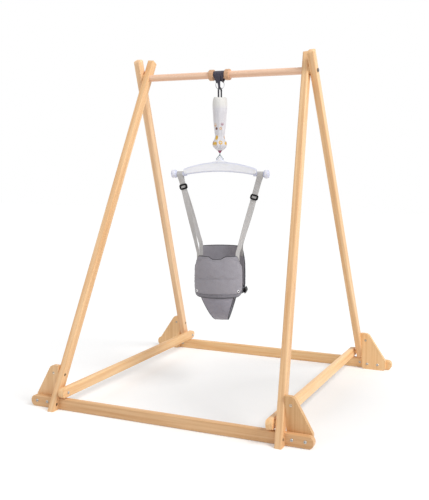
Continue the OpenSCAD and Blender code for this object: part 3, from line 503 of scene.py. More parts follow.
def make_grain():
    """Straight beech grain: slow bands across the board drawn out along it, fine streaks, and short dark
    ray flecks."""
    tree, src, out = group("straight_grain", [("Vector", "V"), ("Pale", "C"), ("Deep", "C"), ("Figure", "F")],
                           [("Color", "C"), ("Roughness", "F"), ("Height", "F")])

    def drawn(along, across, detail, **more):
        """Noise drawn out along the board."""
        return noise(tree, laid(tree, src["Vector"], Scale=(along, across, across)), 1.0, detail, **more)

    bands = drawn(2.2, 95.0, 3.0, Roughness=0.55, Distortion=0.4)
    streaks = drawn(9.0, 620.0, 4.0, Roughness=0.62)
    fleck = between(tree, drawn(260.0, 1500.0, 1.0), 0.60, 0.72)
    tone = drawn(1.1, 7.0, 2.0)
    share = plus(tree, times(tree, between(tree, bands, 0.34, 0.68), 0.62),
                 times(tree, between(tree, streaks, 0.32, 0.70), 0.30),
                 times(tree, fleck, 0.22), between(tree, tone, 0.3, 0.7, -0.12, 0.16))
    share = times(tree, share, src["Figure"], clamp=True)
    feed(tree, out, Color=blend_colour(tree, share, src["Pale"], src["Deep"]),
         Roughness=plus(tree, between(tree, streaks, 0.3, 0.7, 0.40, 0.50), times(tree, fleck, 0.06)),
         Height=minus(tree, times(tree, streaks, 0.6), times(tree, fleck, 0.5)))
    return tree


def make_scuff():
    """Handling marks: soft cloudy smears and sparse fine scratches, each as a mask."""
    tree, src, out = group("handling_marks", [("Vector", "V"), ("Scale", "F")],
                           [("Smear", "F"), ("Scratch", "F")])
    cloud = noise(tree, src["Vector"], src["Scale"], 4.0)
    drawn = laid(tree, src["Vector"], Rotation=(0.4, 0.3, 0.7), Scale=(90.0, 1400.0, 1400.0))
    lines = noise(tree, drawn, 1.0, 1.0)
    feed(tree, out, Smear=between(tree, cloud, 0.35, 0.7), Scratch=between(tree, lines, 0.66, 0.74))
    return tree


def make_weave():
    """Plain weave on a UV map in metres: warp and weft are sine ridges, and a checker of the two threads
    decides which one lies on top; a slow noise gives the uneven yarn. The shade output mixes the yarn's
    uneven tone with painted shade where the threads dip."""
    tree, src, out = group("plain_weave", [("Vector", "V"), ("Pitch", "F")],
                           [("Height", "F"), ("Shade", "F")])
    parts = axes(tree, src["Vector"])
    turn = calc(tree, "DIVIDE", 2 * math.pi, src["Pitch"])
    warp, weft = (calc(tree, "SINE", times(tree, parts[i], turn)) for i in (0, 1))
    ridge = plus(tree, times(tree, times(tree, warp, weft), 0.5), 0.5)
    slub = noise(tree, src["Vector"], 700.0, 3.0)
    mottle = noise(tree, src["Vector"], 60.0, 5.0, Roughness=0.6)
    # Painted shade: the ridge term darkens the weave where the threads dip; the two noises are the yarn's own
    # uneven tone.
    shade = plus(tree, times(tree, ridge, 0.35), times(tree, slub, 0.35), times(tree, mottle, 0.4))
    feed(tree, out, Height=plus(tree, ridge, times(tree, slub, 0.6)), Shade=between(tree, shade, 0.28, 0.78))
    return tree


def make_webbing():
    """Webbing on a UV map in metres: a herringbone of slanted ridges that changes sides every few
    millimetres, with a bound edge on both sides. Its shade output is painted shade in the grooves between the
    ridges, plus lint."""
    tree, src, out = group("webbing_ribs", [("Vector", "V"), ("Half width", "F")],
                           [("Height", "F"), ("Shade", "F"), ("Edge", "F")])
    parts = axes(tree, src["Vector"])
    zig = calc(tree, "PINGPONG", parts[0], 0.0026)
    ribs = waves(tree, plus(tree, times(tree, zig, 0.9), parts[1]), 0.0013)
    picks = waves(tree, parts[0], 0.0009)
    height = plus(tree, times(tree, ribs, 0.5), times(tree, picks, 0.2))
    fluff = noise(tree, src["Vector"], 240.0, 4.0)
    aside = calc(tree, "DIVIDE", calc(tree, "ABSOLUTE", parts[0]), src["Half width"])
    # Painted shade: the shade output darkens the grooves between the ridges; the fluff noise is lint.
    feed(tree, out, Height=height, Edge=between(tree, aside, 0.80, 0.90),
         Shade=plus(tree, between(tree, height, -0.7, 0.7, 0.0, 0.5), times(tree, fluff, 0.5)))
    return tree


def make_stitch():
    """A row of stitches: where the distance from the row is under half a thread and the run along it,
    divided by the stitch length, has a fraction under two thirds."""
    tree, src, out = group("stitch_row", [("Away", "F"), ("Along", "F"), ("Pitch", "F")],
                           [("Mask", "F"), ("Dent", "F")])
    away = calc(tree, "ABSOLUTE", src["Away"])
    near = between(tree, away, 0.00035, 0.0006, 1.0, 0.0)
    part = calc(tree, "FRACT", calc(tree, "DIVIDE", src["Along"], src["Pitch"]))
    dash = times(tree, between(tree, part, 0.02, 0.10), between(tree, part, 0.62, 0.72, 1.0, 0.0))
    feed(tree, out, Mask=times(tree, near, dash), Dent=between(tree, away, 0.0004, 0.0024, 1.0, 0.0))
    return tree


GRAIN = make_grain()
SCUFF = make_scuff()
WEAVE = make_weave()
WEBBING = make_webbing()
STITCH = make_stitch()


# Finishes; their colours are given in 0 to 255

def finish(name):
    """A new material: its tree, its Principled shader, object coordinates and the piece's own UV map."""
    mat = bpy.data.materials.new(name)
    mat.use_nodes = True
    tree = mat.node_tree
    place = tree.nodes.new("ShaderNodeTexCoord").outputs
    return mat, tree, tree.nodes["Principled BSDF"], place["Object"], place["UV"]


def lacquered_wood(name, along, pale, deep, shift, figure=1.0):
    """Clear-lacquered wood whose grain runs along a direction."""
    mat, tree, shader, obj, _ = finish(name)
    turn = Vector(along).rotation_difference(Vector((1.0, 0.0, 0.0))).to_euler()
    lie = laid(tree, obj, Rotation=turn, Location=shift)
    wood = use(tree, GRAIN, Vector=lie, Pale=srgb(*pale), Deep=srgb(*deep), Figure=figure)
    marks = use(tree, SCUFF, Vector=obj, Scale=14.0)
    feed(tree, shader, Base_Color=wood["Color"], Normal=bumped(tree, wood["Height"], 0.00012, 0.6),
         Roughness=plus(tree, wood["Roughness"], times(tree, marks["Smear"], 0.07)),
         Coat_Weight=0.12, Coat_Roughness=0.28, Specular_IOR_Level=0.4)
    return mat


def plywood(name, middle_y, pale, deep):
    """Lacquered birch plywood: face grain upright, and thin plies across the edges, told apart by the
    face's turn."""
    mat, tree, shader, obj, _ = finish(name)
    turn = Vector((0.0, 0.0, 1.0)).rotation_difference(Vector((1.0, 0.0, 0.0))).to_euler()
    lie = laid(tree, obj, Rotation=turn, Location=(middle_y, 0.0, 0.3))
    wood = use(tree, GRAIN, Vector=lie, Pale=srgb(*pale), Deep=srgb(*deep), Figure=0.9)
    layer = waves(tree, minus(tree, axes(tree, obj)[1], middle_y), 0.003)
    facing = axes(tree, add(tree, "ShaderNodeNewGeometry").outputs["Normal"])[1]
    edge = between(tree, calc(tree, "ABSOLUTE", facing), 0.5, 0.8, 1.0, 0.0)
    ply = times(tree, between(tree, layer, -0.3, 0.3), times(tree, edge, 0.34))
    tint = blend_colour(tree, ply, wood["Color"], srgb(*deep))
    feed(tree, shader, Base_Color=tint, Normal=bumped(tree, wood["Height"], 0.00012, 0.6),
         Roughness=wood["Roughness"], Coat_Weight=0.12, Coat_Roughness=0.28, Specular_IOR_Level=0.4)
    return mat


def plated(name, colour, rough_low, rough_high, brushed=900.0):
    """Metal with a drawn or plated skin: fine brushed lines, smears in the roughness and small dull
    spots."""
    mat, tree, shader, obj, _ = finish(name)
    colour = srgb(*colour)
    smear = use(tree, SCUFF, Vector=obj, Scale=55.0)["Smear"]
    skin = noise(tree, obj, brushed, 3.0)
    wear = plus(tree, times(tree, skin, 0.5), times(tree, smear, 0.5))
    feed(tree, shader, Base_Color=blend_colour(tree, smear, colour, toned(colour, 0.82)), Metallic=1.0,
         Roughness=between(tree, wear, 0.2, 0.8, rough_low, rough_high),
         Normal=bumped(tree, skin, 0.00003, 0.5))
    return mat


def moulded(name, colour, rough, grain=0.00005, coat=0.0, gloss=0.5):
    """Moulded plastic: fine texture, smears in the gloss and a little colour drift."""
    mat, tree, shader, obj, _ = finish(name)
    colour = srgb(*colour)
    marks = use(tree, SCUFF, Vector=obj, Scale=40.0)
    level = plus(tree, between(tree, marks["Smear"], 0.0, 1.0, rough - 0.05, rough + 0.06),
                 times(tree, marks["Scratch"], 0.08))
    tint = blend_colour(tree, marks["Smear"], colour, toned(colour, 0.9))
    pits = noise(tree, obj, 1300.0, 2.0)
    feed(tree, shader, Base_Color=tint, Roughness=level, Normal=bumped(tree, pits, grain, 0.5),
         Coat_Weight=coat, Specular_IOR_Level=gloss)
    return mat


def milky_plastic_edge_shaded(name, edge, inside):
    """White plastic that lets a little light in, with painted shade along its rounded edges: its colour runs
    from the darker edge colour to the paler inside colour over the distance from the edge, which is in the
    piece's own map."""
    mat, tree, shader, obj, uv = finish(name)
    smear = use(tree, SCUFF, Vector=obj, Scale=40.0)["Smear"]
    # Painted shade: the rounded edges get the darker edge colour, the inside the paler one.
    depth = between(tree, axes(tree, uv)[0], 0.0, 0.0065)
    feed(tree, shader, Base_Color=blend_colour(tree, depth, srgb(*edge), srgb(*inside)), Coat_Weight=0.1,
         Roughness=between(tree, smear, 0.0, 1.0, 0.30, 0.40), Subsurface_Weight=0.2, Subsurface_Scale=0.5,
         Subsurface_Radius=(0.012, 0.012, 0.014))
    return mat


def webbing(name, colour, half_width, ribs=0.00022):
    """Woven webbing on the strap's own map, with a bound edge, lint and painted shade in the grooves between
    its ribs.
    """
    mat, tree, shader, _, uv = finish(name)
    colour = srgb(*colour)
    web = use(tree, WEBBING, Vector=uv, Half_width=half_width)
    # The darker end of this mix is painted shade in the ribs' grooves.
    tint = blend_colour(tree, web["Shade"], toned(colour, 0.70), colour)
    feed(tree, shader, Base_Color=blend_colour(tree, web["Edge"], tint, toned(colour, 0.86)), Roughness=0.82,
         Normal=bumped(tree, web["Height"], ribs, 0.8), Sheen_Weight=0.15, Sheen_Roughness=0.5,
         Specular_IOR_Level=0.25)
    return mat


def seat_cloth(name, colour, hem=0.0, crease=0.0):
    """Twill seat cloth on the panel's own map: weave and mottled yarn, with painted shade in the weave's
    dips; with a hem, a darker turned band with a row of stitches, and with a crease, a soft line of painted
    shade along the pressed crease across the middle."""
    mat, tree, shader, _, uv = finish(name)
    colour = srgb(*colour)
    deep = toned(colour, 0.80)
    weave = use(tree, WEAVE, Vector=uv, Pitch=0.0011)
    # The weave's shade output holds painted shade in the threads' dips.
    tint = blend_colour(tree, weave["Shade"], deep, toned(colour, 1.12))
    along, up, _ = axes(tree, uv)
    height = weave["Height"]
    if hem:
        band = between(tree, up, hem - 0.0004, hem + 0.0004, 1.0, 0.0)
        tint = blend_colour(tree, times(tree, band, 0.42), tint, srgb(84, 84, 92))
        rows = use(tree, STITCH, Away=minus(tree, up, hem - 0.0022), Along=along, Pitch=0.0034)
        tint = blend_colour(tree, times(tree, rows["Mask"], 0.75), tint, srgb(62, 62, 70))
        height = minus(tree, height, times(tree, rows["Dent"], 2.5))
    if crease:
        # Painted shade: the cloth is darkened along the pressed crease.
        line = between(tree, calc(tree, "ABSOLUTE", minus(tree, up, crease)), 0.0, 0.004, 1.0, 0.0)
        tint = blend_colour(tree, times(tree, line, 0.24), tint, deep)
    feed(tree, shader, Base_Color=tint, Roughness=0.86, Normal=bumped(tree, height, 0.00016, 0.8),
         Sheen_Weight=0.2, Sheen_Roughness=0.5, Specular_IOR_Level=0.2)
    return mat


def braided(name, colour):
    """Braid on the cord's own map: two sets of slanted strands that cross, with painted shade between the
    strands.
    """
    mat, tree, shader, _, uv = finish(name)
    colour = srgb(*colour)
    u, v, _ = axes(tree, uv)
    one, two = (waves(tree, slant, 0.0016) for slant in (plus(tree, u, v), minus(tree, u, v)))
    strand = calc(tree, "MAXIMUM", one, two)
    # Painted shade: the colour darkens where the strand height is low, between the strands.
    tint = blend_colour(tree, between(tree, strand, 0.0, 1.0), toned(colour, 0.55), colour)
    feed(tree, shader, Base_Color=tint, Roughness=0.8, Normal=bumped(tree, strand, 0.0002, 0.9),
         Sheen_Weight=0.1)
    return mat


DOT_COLOURS = ((0.0, (238, 186, 40)), (0.30, (196, 140, 70)), (0.55, (226, 170, 92)), (0.70, (112, 66, 52)),
               (0.88, (150, 58, 92)))


def sleeve_cloth():
    """Soft jersey of the spring's sleeve: fine knit with painted shade in its dips, a whiter hem at the top
    with stitches below it, and a scatter of plain dots and rings in warm colours on its lower half, placed by
    Voronoi cells."""
    mat, tree, shader, _, uv = finish("sleeve_jersey")
    weave = use(tree, WEAVE, Vector=uv, Pitch=0.0008)
    along, down, _ = axes(tree, uv)
    # The weave's shade output holds painted shade in the knit's dips.
    base = blend_colour(tree, weave["Shade"], srgb(210, 208, 214), srgb(238, 237, 241))
    base = blend_colour(tree, between(tree, down, 0.0240, 0.0420, 1.0, 0.0), base, srgb(233, 232, 229))
    rows = use(tree, STITCH, Away=minus(tree, down, 0.0385), Along=along, Pitch=0.0026)
    base = blend_colour(tree, times(tree, rows["Mask"], 0.35), base, srgb(170, 166, 182))
    cells = add(tree, "ShaderNodeTexVoronoi", named=dict(Vector=uv, Scale=47.0, Randomness=0.6),
                voronoi_dimensions="2D").outputs
    kind, size, colour = add(tree, "ShaderNodeSeparateColor", (cells["Color"],)).outputs
    size = between(tree, size, 0.0, 1.0, 0.22, 0.42)
    inside = between(tree, minus(tree, cells["Distance"], size), -0.03, 0.0, 1.0, 0.0)
    hole = between(tree, minus(tree, cells["Distance"], times(tree, size, 0.5)), -0.03, 0.0, 1.0, 0.0)
    shape = minus(tree, inside, times(tree, hole, calc(tree, "LESS_THAN", kind, 0.22)), clamp=True)
    lower = times(tree, between(tree, down, 0.085, 0.098), between(tree, down, 0.160, 0.168, 1.0, 0.0))
    shape = times(tree, shape, times(tree, lower, calc(tree, "LESS_THAN", kind, 0.72)))
    ramp = add(tree, "ShaderNodeValToRGB", (colour,))
    ramp.color_ramp.interpolation = "CONSTANT"
    stops = ramp.color_ramp.elements
    for i, (position, warm) in enumerate(DOT_COLOURS):
        stop = stops[i] if i < 2 else stops.new(position)
        stop.position = position
        stop.color = srgb(*warm)
    base = blend_colour(tree, times(tree, shape, 0.92), base, ramp.outputs[0])
    feed(tree, shader, Base_Color=base, Roughness=0.85, Normal=bumped(tree, weave["Height"], 0.0001, 0.7),
         Sheen_Weight=0.2, Sheen_Roughness=0.5, Specular_IOR_Level=0.2)
    return mat


ALONG_X, ALONG_Y = (1, 0, 0), (0, 1, 0)
BEECH_PALE, BEECH_DEEP = (253, 215, 168), (218, 163, 106)


def leg_wood(name, side, end, shift, pale=BEECH_PALE, deep=BEECH_DEEP):
    """Beech of one leg, with its grain from foot to top; a leg given its own colours holds painted light and
    shade in them besides the board's own tone.
    """
    along = (-side * math.tan(LEG_TILT[end]) * BAR_Z, -end * math.tan(LEG_LEAN) * BAR_Z, BAR_Z)
    return lacquered_wood(name, along, pale, deep, shift)


# The side rails' paler beech is partly painted light.
side_wood = lacquered_wood("side_rail_beech_painted_light", ALONG_Y, (254, 216, 166), (234, 180, 122), (0.0, 0.4, 0.2))
collar_wood = lacquered_wood("turned_collar", ALONG_X, (228, 188, 152), (204, 156, 118), (1.7, 0.2, 0.3), 1.1)
spacer_wood = lacquered_wood("turned_spacer", ALONG_X, (246, 210, 160), (220, 170, 114), (0.3, 0.9, 0.3))
rear_ply = plywood("rear_gusset_ply", PLATE_Y[1], (254, 214, 162), (226, 174, 116))
zinc = plated("zinc_plate", (190, 190, 186), 0.30, 0.48)
bolt_zinc = plated("bolt_zinc", (204, 202, 198), 0.20, 0.36)
pivot_zinc = plated("pivot_bolt_zinc", (126, 120, 114), 0.30, 0.46)
yellow_zinc = plated("yellow_zinc", (150, 126, 98), 0.34, 0.50)
nut_steel = plated("dull_nut_steel", (132, 112, 92), 0.40, 0.58)
plate_nut = plated("plate_nut_zinc", (206, 190, 170), 0.36, 0.52)
stud_nickel = plated("stud_nickel", (242, 242, 244), 0.36, 0.52)
ring_wire = plated("bright_ring_wire", (206, 208, 212), 0.12, 0.24, 1800.0)
link_wire = plated("grey_link_wire", (150, 162, 168), 0.28, 0.42, 1400.0)
spring_steel = plated("spring_steel", (160, 162, 166), 0.25, 0.4)
clip_coat = moulded("dark_clip_coat", (44, 44, 52), 0.42, 0.00004, 0.15)
# Near-black finish for the press studs' sunk middles: painted shade in the recess.
stud_painted_shade = moulded("stud_painted_shade", (22, 22, 26), 0.45, gloss=0.2)
burgundy = moulded("burgundy_plastic", (142, 46, 86), 0.3, 0.00003, 0.3)
black_plastic = moulded("black_plastic", (15, 15, 18), 0.42, gloss=0.16)
# The first colour is painted shade along the spreader's rounded edges.
white_plastic_edge_shaded = milky_plastic_edge_shaded("milky_plastic_edge_shaded", (208, 212, 234), (248, 249, 255))
hang_web = webbing("charcoal_webbing", (84, 81, 94), HANG_STRAP_W / 2, 0.0003)
grey_web = webbing("grey_webbing", (211, 209, 208), 0.0105)
belt_web = webbing("belt_webbing", (96, 96, 104), 0.010)
panel_cloth = seat_cloth("front_panel_cloth", (162, 159, 167), HEM, FRONT_CREASE)
back_cloth = seat_cloth("back_panel_cloth", (162, 159, 167), HEM)
sling_cloth = seat_cloth("sling_cloth", (156, 153, 163))
piping_cloth = braided("piping_cloth", (78, 79, 84))
cord_braid = braided("cord_braid", (96, 96, 102))
jersey = sleeve_cloth()

# Parts with their own beech colours hold painted light and shade besides the wood's own tone: the front right
# leg, the front right gusset and the front rail are darker as painted shade, the rear left leg, the rear rail
# and the side rails paler as painted light.
FINISH_OF = {
    "front_left_leg": leg_wood("front_left_leg_beech", -1, -1, (0.1, 0.0, 0.6)),
    "front_right_leg": leg_wood("front_right_leg_beech_painted_shade", 1, -1, (0.5, 0.3, 0.1),
                                (248, 209, 162), (208, 152, 96)),
    "rear_left_leg": leg_wood("rear_left_leg_beech_painted_light", -1, 1, (0.9, 0.6, 0.4),
                              (255, 221, 180), (228, 176, 126)),
    "rear_right_leg": leg_wood("rear_right_leg_beech", 1, 1, (1.3, 0.8, 0.9)),
    "front_rail": lacquered_wood("front_rail_beech_painted_shade", ALONG_X, (240, 199, 152), (204, 151, 98),
                                 (0.2, 0.1, 0.0)),
    "rear_rail": lacquered_wood("rear_rail_beech_painted_light", ALONG_X, (255, 219, 168), (228, 172, 112),
                                (0.9, 0.5, 0.2)),
    "top_bar": lacquered_wood("bar_beech", ALONG_X, (252, 216, 188), (234, 186, 154), (0.7, 0.0, 0.3)),
    "left_side_rail": side_wood, "right_side_rail": side_wood,
    "left_bar_collar": collar_wood, "right_bar_collar": collar_wood,
    "front_spacers": spacer_wood, "rear_spacers": spacer_wood, "pivot_washers": spacer_wood,
    "front_left_gusset": plywood("front_left_gusset_ply", PLATE_Y[-1], (250, 211, 164), (222, 172, 118)),
    "front_right_gusset": plywood("front_right_gusset_ply_painted_shade", PLATE_Y[-1], (232, 191, 141), (202, 151, 96)),
    "rear_left_gusset": rear_ply, "rear_right_gusset": rear_ply,
    "strap_ring": ring_wire, "spring_hook": spring_steel, "foot_eye": link_wire, "wire_triangle": link_wire,
    "carabiner": clip_coat, "carabiner_gate": clip_coat, "spring_tip": burgundy,
    "spreader_bar": white_plastic_edge_shaded,
    "left_slider": black_plastic, "right_slider": black_plastic, "belt_buckle": black_plastic,
}
for label, obj in nodes.items():
    obj.data.materials.clear()
    obj.data.materials.append(FINISH_OF.get(label, zinc))


# Bolts and barrel nuts, each on the axis of its own solid

BODIES = frame["record"]["behaviour"]["bodies"]
BODY_OF = {label: body for body, labels in BODIES.items() for label in labels}


def solids_of(label):
    """Corner points of each separate solid of a node: corners at one place are one, the lowest corner
    number spreads over the triangles until nothing changes, and corners with one number are one solid."""
    mesh = nodes[label].data
    points = np.empty(3 * len(mesh.vertices))
    mesh.vertices.foreach_get("co", points)
    corners = np.empty(len(mesh.loops), int)
    mesh.loops.foreach_get("vertex_index", corners)
    points, same = np.unique(points.reshape(-1, 3).round(6), axis=0, return_inverse=True)
    triangles = same.ravel()[corners].reshape(-1, 3)
    number = np.arange(len(points))
    before = None
    while before is None or (before != number).any():
        before = number.copy()
        np.minimum.at(number, triangles, before[triangles].min(1)[:, None])
        number = number[number]
    return [points[number == n] for n in np.unique(number)]


def on_axis(points, out):
    """A round solid's axis point, its ends along the axis and its largest radius."""
    along = points @ out
    flat = points - along[:, None] * out
    middle = (flat.min(0) + flat.max(0)) / 2
    return middle, along.min(), along.max(), np.linalg.norm(flat - middle, axis=1).max()


def round_outline(angle):
    """Distance from the middle to the edge of a circle of radius one."""
    return np.ones_like(angle)


def hexagon(angle):
    """Distance from the middle to the side of a hexagon whose flats are one from the middle."""
    return 1 / np.cos((angle + np.pi / 6) % (np.pi / 3) - np.pi / 6)


def slot_outline(angle):
    """Distance from the middle to the edge of a narrow ellipse, 1.7 by 0.32 from its middle."""
    return 1 / np.sqrt((np.cos(angle) / 1.7) ** 2 + (np.sin(angle) / 0.32) ** 2)


def turned_on(rows, middle, out, outline=round_outline, count=48):
    """Rows (radius, height along the axis, share of an outline) carried round an axis: a row's radius is
    its own times one, or times the outline where its share is one."""
    rows = np.array(rows)
    angle, ring = circle_about(out, count)
    radius = rows[:, :1] * mixed(1.0, outline(angle)[None], rows[:, 2:])
    return surface(middle + radius[..., None] * ring + rows[:, 1, None, None] * out, wrap_cols=True)


def socket_bolt(points, out, head=HEAD, dome=DOME):
    """Button-head bolt with a six-sided socket: from the socket's floor up its walls, over the domed
    head, down to the shank and along it to its tip."""
    middle, low, high, r = on_axis(points, out)
    seat = high - head
    rise = head * dome
    shank = on_axis(points[points @ out < seat - 1e-4], out)[3]
    flat = 0.5 * r
    rows = [(0, -0.7, 1), (0.95 * flat, -0.7, 1), (flat, -0.6, 1), (flat, 0.93, 1), (1.07 * flat, 1, 1),
            (0.7 * r, 1, 0), (0.85 * r, 0.88, 0), (0.96 * r, 0.6, 0), (r, 0.25, 0), (r, 0, 0)]
    rows = [(radius, seat + rise * share, kind) for radius, share, kind in rows]
    return turned_on(rows + [(shank, seat, 0), (shank, low, 0), (0, low, 0)], middle, out, hexagon)


def barrel_nut(points, out):
    """Barrel nut with a screwdriver slot in each end, whose ends stand a little inside the wood."""
    middle, low, high, r = on_axis(points, out)
    end = [(0, 0.0014, 1), (0.42 * r, 0.0014, 1), (0.46 * r, 0.0004, 1),
           (0.86 * r, 0.0003, 0), (r, 0.0008, 0)]
    rows = [(radius, high - depth, kind) for radius, depth, kind in end]
    rows += [(radius, low + depth, kind) for radius, depth, kind in end[::-1]]
    return turned_on(rows, middle, out, slot_outline)


def across_leg(points, tilt):
    """Direction across a leg, outwards from the stand's middle, on the side where the points lie."""
    return np.array([math.copysign(math.cos(tilt), points[:, 0].mean()), 0.0, math.sin(tilt)])


def fastener(label, make, material):
    """Replaces a node of fasteners by finer ones, each made on its own solid."""
    parts = [make(p) for p in solids_of(label)]
    piece("fine_" + label, parts, material, BODY_OF[label], [label], 1e-7)


for end, half in ((-1, "front"), (1, "rear")):
    fore = np.array([0.0, float(end), 0.0])
    shank = NUT_SHANK * fore
    tilt = LEG_TILT[end]
    fastener(half + "_toe_bolts", lambda p: socket_bolt(p, fore), bolt_zinc)
    fastener(half + "_toe_nuts", lambda p: socket_bolt(np.concatenate([p, p + shank]), -fore), bolt_zinc)
    fastener(half + "_rail_bolts", lambda p: socket_bolt(p, -fore), bolt_zinc)
    fastener(half + "_gusset_bolts", lambda p: socket_bolt(p, -across_leg(p, tilt), dome=1.0), yellow_zinc)
    fastener(half + "_gusset_nuts", lambda p: barrel_nut(p, fore), plate_nut)
    fastener(half + "_rail_nuts", lambda p: barrel_nut(p, across_leg(p, tilt)), nut_steel)
fastener("bar_barrel_nuts", lambda p: barrel_nut(p, np.array([0.0, 0.0, 1.0])), nut_steel)
fastener("pivot_bolts", lambda p: socket_bolt(p, across_leg(p, 0.0), PIVOT_HEAD), pivot_zinc)
for label in ("side_rail_pivots", "left_side_rail_bolt", "right_side_rail_bolt"):
    fastener(label, lambda p: socket_bolt(p, -across_leg(p, LEG_TILT[-1])), bolt_zinc)


# Safety cord, spring and sleeve

def safety_cord():
    """Slack cord from plug to plug: a bow of sin(4 pi t) sin(pi t) to the side, a round profile carried
    along it."""
    t = np.linspace(0.0, 1.0, 60)
    low, high = SPRING_LOW + CORD_PLUG, SPRING_TOP - CORD_PLUG
    bow = CORD_BOW * np.sin(4 * np.pi * t) * np.sin(np.pi * t)
    path = hung(np.stack([bow, 0 * t, mixed(high, low, t)], 1), JUMPER_TURN)
    profile = circle_profile(CORD_R, 12)
    points = carried(path, np.tile(turned(np.array([0.0, 1.0, 0.0]), JUMPER_TURN), (60, 1)), profile)
    run = run_of(path)
    braid = surface(points, lay_uv(run, run_of(profile, True)), wrap_cols=True, caps=True)
    made = piece("inner_safety_cord", braid, cord_braid, replaces=["safety_cord"])
    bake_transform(made)


def spring_coil():
    """Helix: radius times cosine and sine of the angle, rising evenly; round wire carried along it."""
    count = SPRING_TURNS * 28 + 1
    a = np.linspace(0.0, 2 * np.pi * SPRING_TURNS, count)
    z = np.linspace(SPRING_LOW + SPRING_WIRE_R, SPRING_TOP - SPRING_WIRE_R, count)
    path = hung(np.stack([SPRING_R * np.cos(a), SPRING_R * np.sin(a), z], 1), JUMPER_TURN)
    out = turned(np.stack([np.cos(a), np.sin(a), 0 * a], 1), JUMPER_TURN)
    coil = surface(carried(path, out, circle_profile(SPRING_WIRE_R, 10)), wrap_cols=True, caps=True)
    made = piece("coil_spring_wire", coil, spring_steel, replaces=["coil_spring"])
    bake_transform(made)


def sleeve():
    """Cloth tube: radius from the levels by a smooth curve, plus folds that run down it as sines of the
    angle, deepest in the ruffle, plus slight slack bulges; the wall's inner side follows inside."""
    rows, levels = 168, 96
    a = angles(rows)[:, None]
    k = np.linspace(0.0, 1.0, levels)[None, :]
    radius, fold = (SLEEVE_R * through(k, SLEEVE_LEVELS[:, 0], SLEEVE_LEVELS[:, i]) for i in (1, 2))
    room = np.where(k < 0.9, SPRING_ROOM + fold, 0.0)
    wave = (0.75 * np.sin(9 * a + 5.2 * k) + 0.35 * np.sin(14 * a - 9.0 * k + 1.3)
            + 0.25 * np.sin(5 * a + 12.0 * k + 0.6))
    slack = 0.00045 * np.sin(2 * a + 15 * k) * np.sin(np.pi * k)
    outer = np.maximum(radius, room) + fold * wave * 0.9 + slack
    z = mixed(SLEEVE_TOP, SLEEVE_LOW, k) + 0.0012 * np.sin(2 * a + 0.8) * (1 - eased(k * 8))

    def ring(r):
        """Points at a radius from the sleeve's middle line."""
        return np.stack([r * np.cos(a), r * np.sin(a), z], -1)

    points = hung(np.concatenate([ring(outer), ring(outer - SLEEVE_WALL)[:, ::-1]], 1), JUMPER_TURN)
    down = np.concatenate([k[0], k[0][::-1], k[0][:1]]) * (SLEEVE_TOP - SLEEVE_LOW)
    girth = np.linspace(0.0, 2 * np.pi * SLEEVE_MEAN_R, rows + 1)
    uv = np.stack(np.meshgrid(down, girth)[::-1], -1)
    made = piece("spring_sleeve", surface(points, uv, wrap_rows=True, wrap_cols=True), jersey,
                 replaces=["spring_cover"])
    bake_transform(made)


safety_cord()
spring_coil()
sleeve()


# Hanging strap round the bar and through the ring

def strap_tail():
    """Loose end of the strap: a flat profile that narrows as it leaves the loop's front, hangs before the
    ring and ends by the clip."""
    t = np.linspace(0.0, 1.0, 40)
    path = np.stack([HANG_X + mixed(TAIL_X, TAIL_END_X, eased(t)), TAIL_Y + TAIL_BACK * eased(t * 1.6),
                     mixed(TAIL_TOP, TAIL_LOW, t)], 1)
    width = mixed(TAIL_W, TAIL_END_W, eased(t * 1.25))
    profile = flat_profile(1.0, HANG_STRAP_T, 28)
    across = np.array([1.0, 0.0, 0.0])
    up = np.cross(travel_of(path), across)
    curl = 0.0006 * np.sin(8 * t)[:, None] * profile[None, :, 0]
    points = (path[:, None] + (profile[None, :, 0] * width[:, None])[..., None] * across
              + (profile[None, :, 1] + curl)[..., None] * up[:, None])
    return surface(points, strip_uv(run_of(path), profile * [TAIL_MAP_W, 1.0]), wrap_cols=True, caps=True)


def hanging_strap():
    """Flat loop: half circle over the bar, straight runs and a small half circle under the ring's wire;
    its width narrows towards the ring and its low part follows the ring's curve."""
    low_z = RING_Z + RING_R
    tilt = math.asin((BAR_TURN_R - RING_TURN_R) / (BAR_Z - low_z))
    over = np.linspace(-tilt, np.pi + tilt, 90)
    under = np.linspace(np.pi + tilt, 2 * np.pi - tilt, 40)
    path = np.concatenate([np.stack([0 * a, r * np.cos(a), z + r * np.sin(a)], 1)
                           for a, r, z in ((over, BAR_TURN_R, BAR_Z), (under, RING_TURN_R, low_z))])
    path = evenly(np.concatenate([path, path[:1]]), 201)[:-1]
    share = eased((BAR_Z - path[:, 2]) / (BAR_Z - low_z))
    width = mixed(HANG_STRAP_W, RING_STRAP_W, share)
    profile = flat_profile(1.0, HANG_STRAP_T, 40)
    across = np.array([1.0, 0.0, 0.0])
    up = np.cross(travel_of(path, True), across)
    x = profile[None, :, 0] * width[:, None]
    sag = share[:, None] * (RING_R - np.sqrt(RING_R**2 - (profile[None, :, 0] * RING_STRAP_W) ** 2))
    crumple = 0.00035 * np.sin(x * 900 + path[:, 2:] * 260) * share[:, None]
    points = (path[:, None] + x[..., None] * across + (profile[None, :, 1] + crumple)[..., None] * up[:, None]
              - sag[..., None] * np.array([0.0, 0.0, 1.0]))
    points[..., 0] += HANG_X
    run = run_of(path, True)
    loop = surface(points, strip_uv(run, profile * [HANG_STRAP_W, 1.0]), wrap_rows=True, wrap_cols=True)
    made = piece("hanging_webbing", [loop, strap_tail()], hang_web, "hanger",
                 ["hanging_strap"])


hanging_strap()


# Seat panels

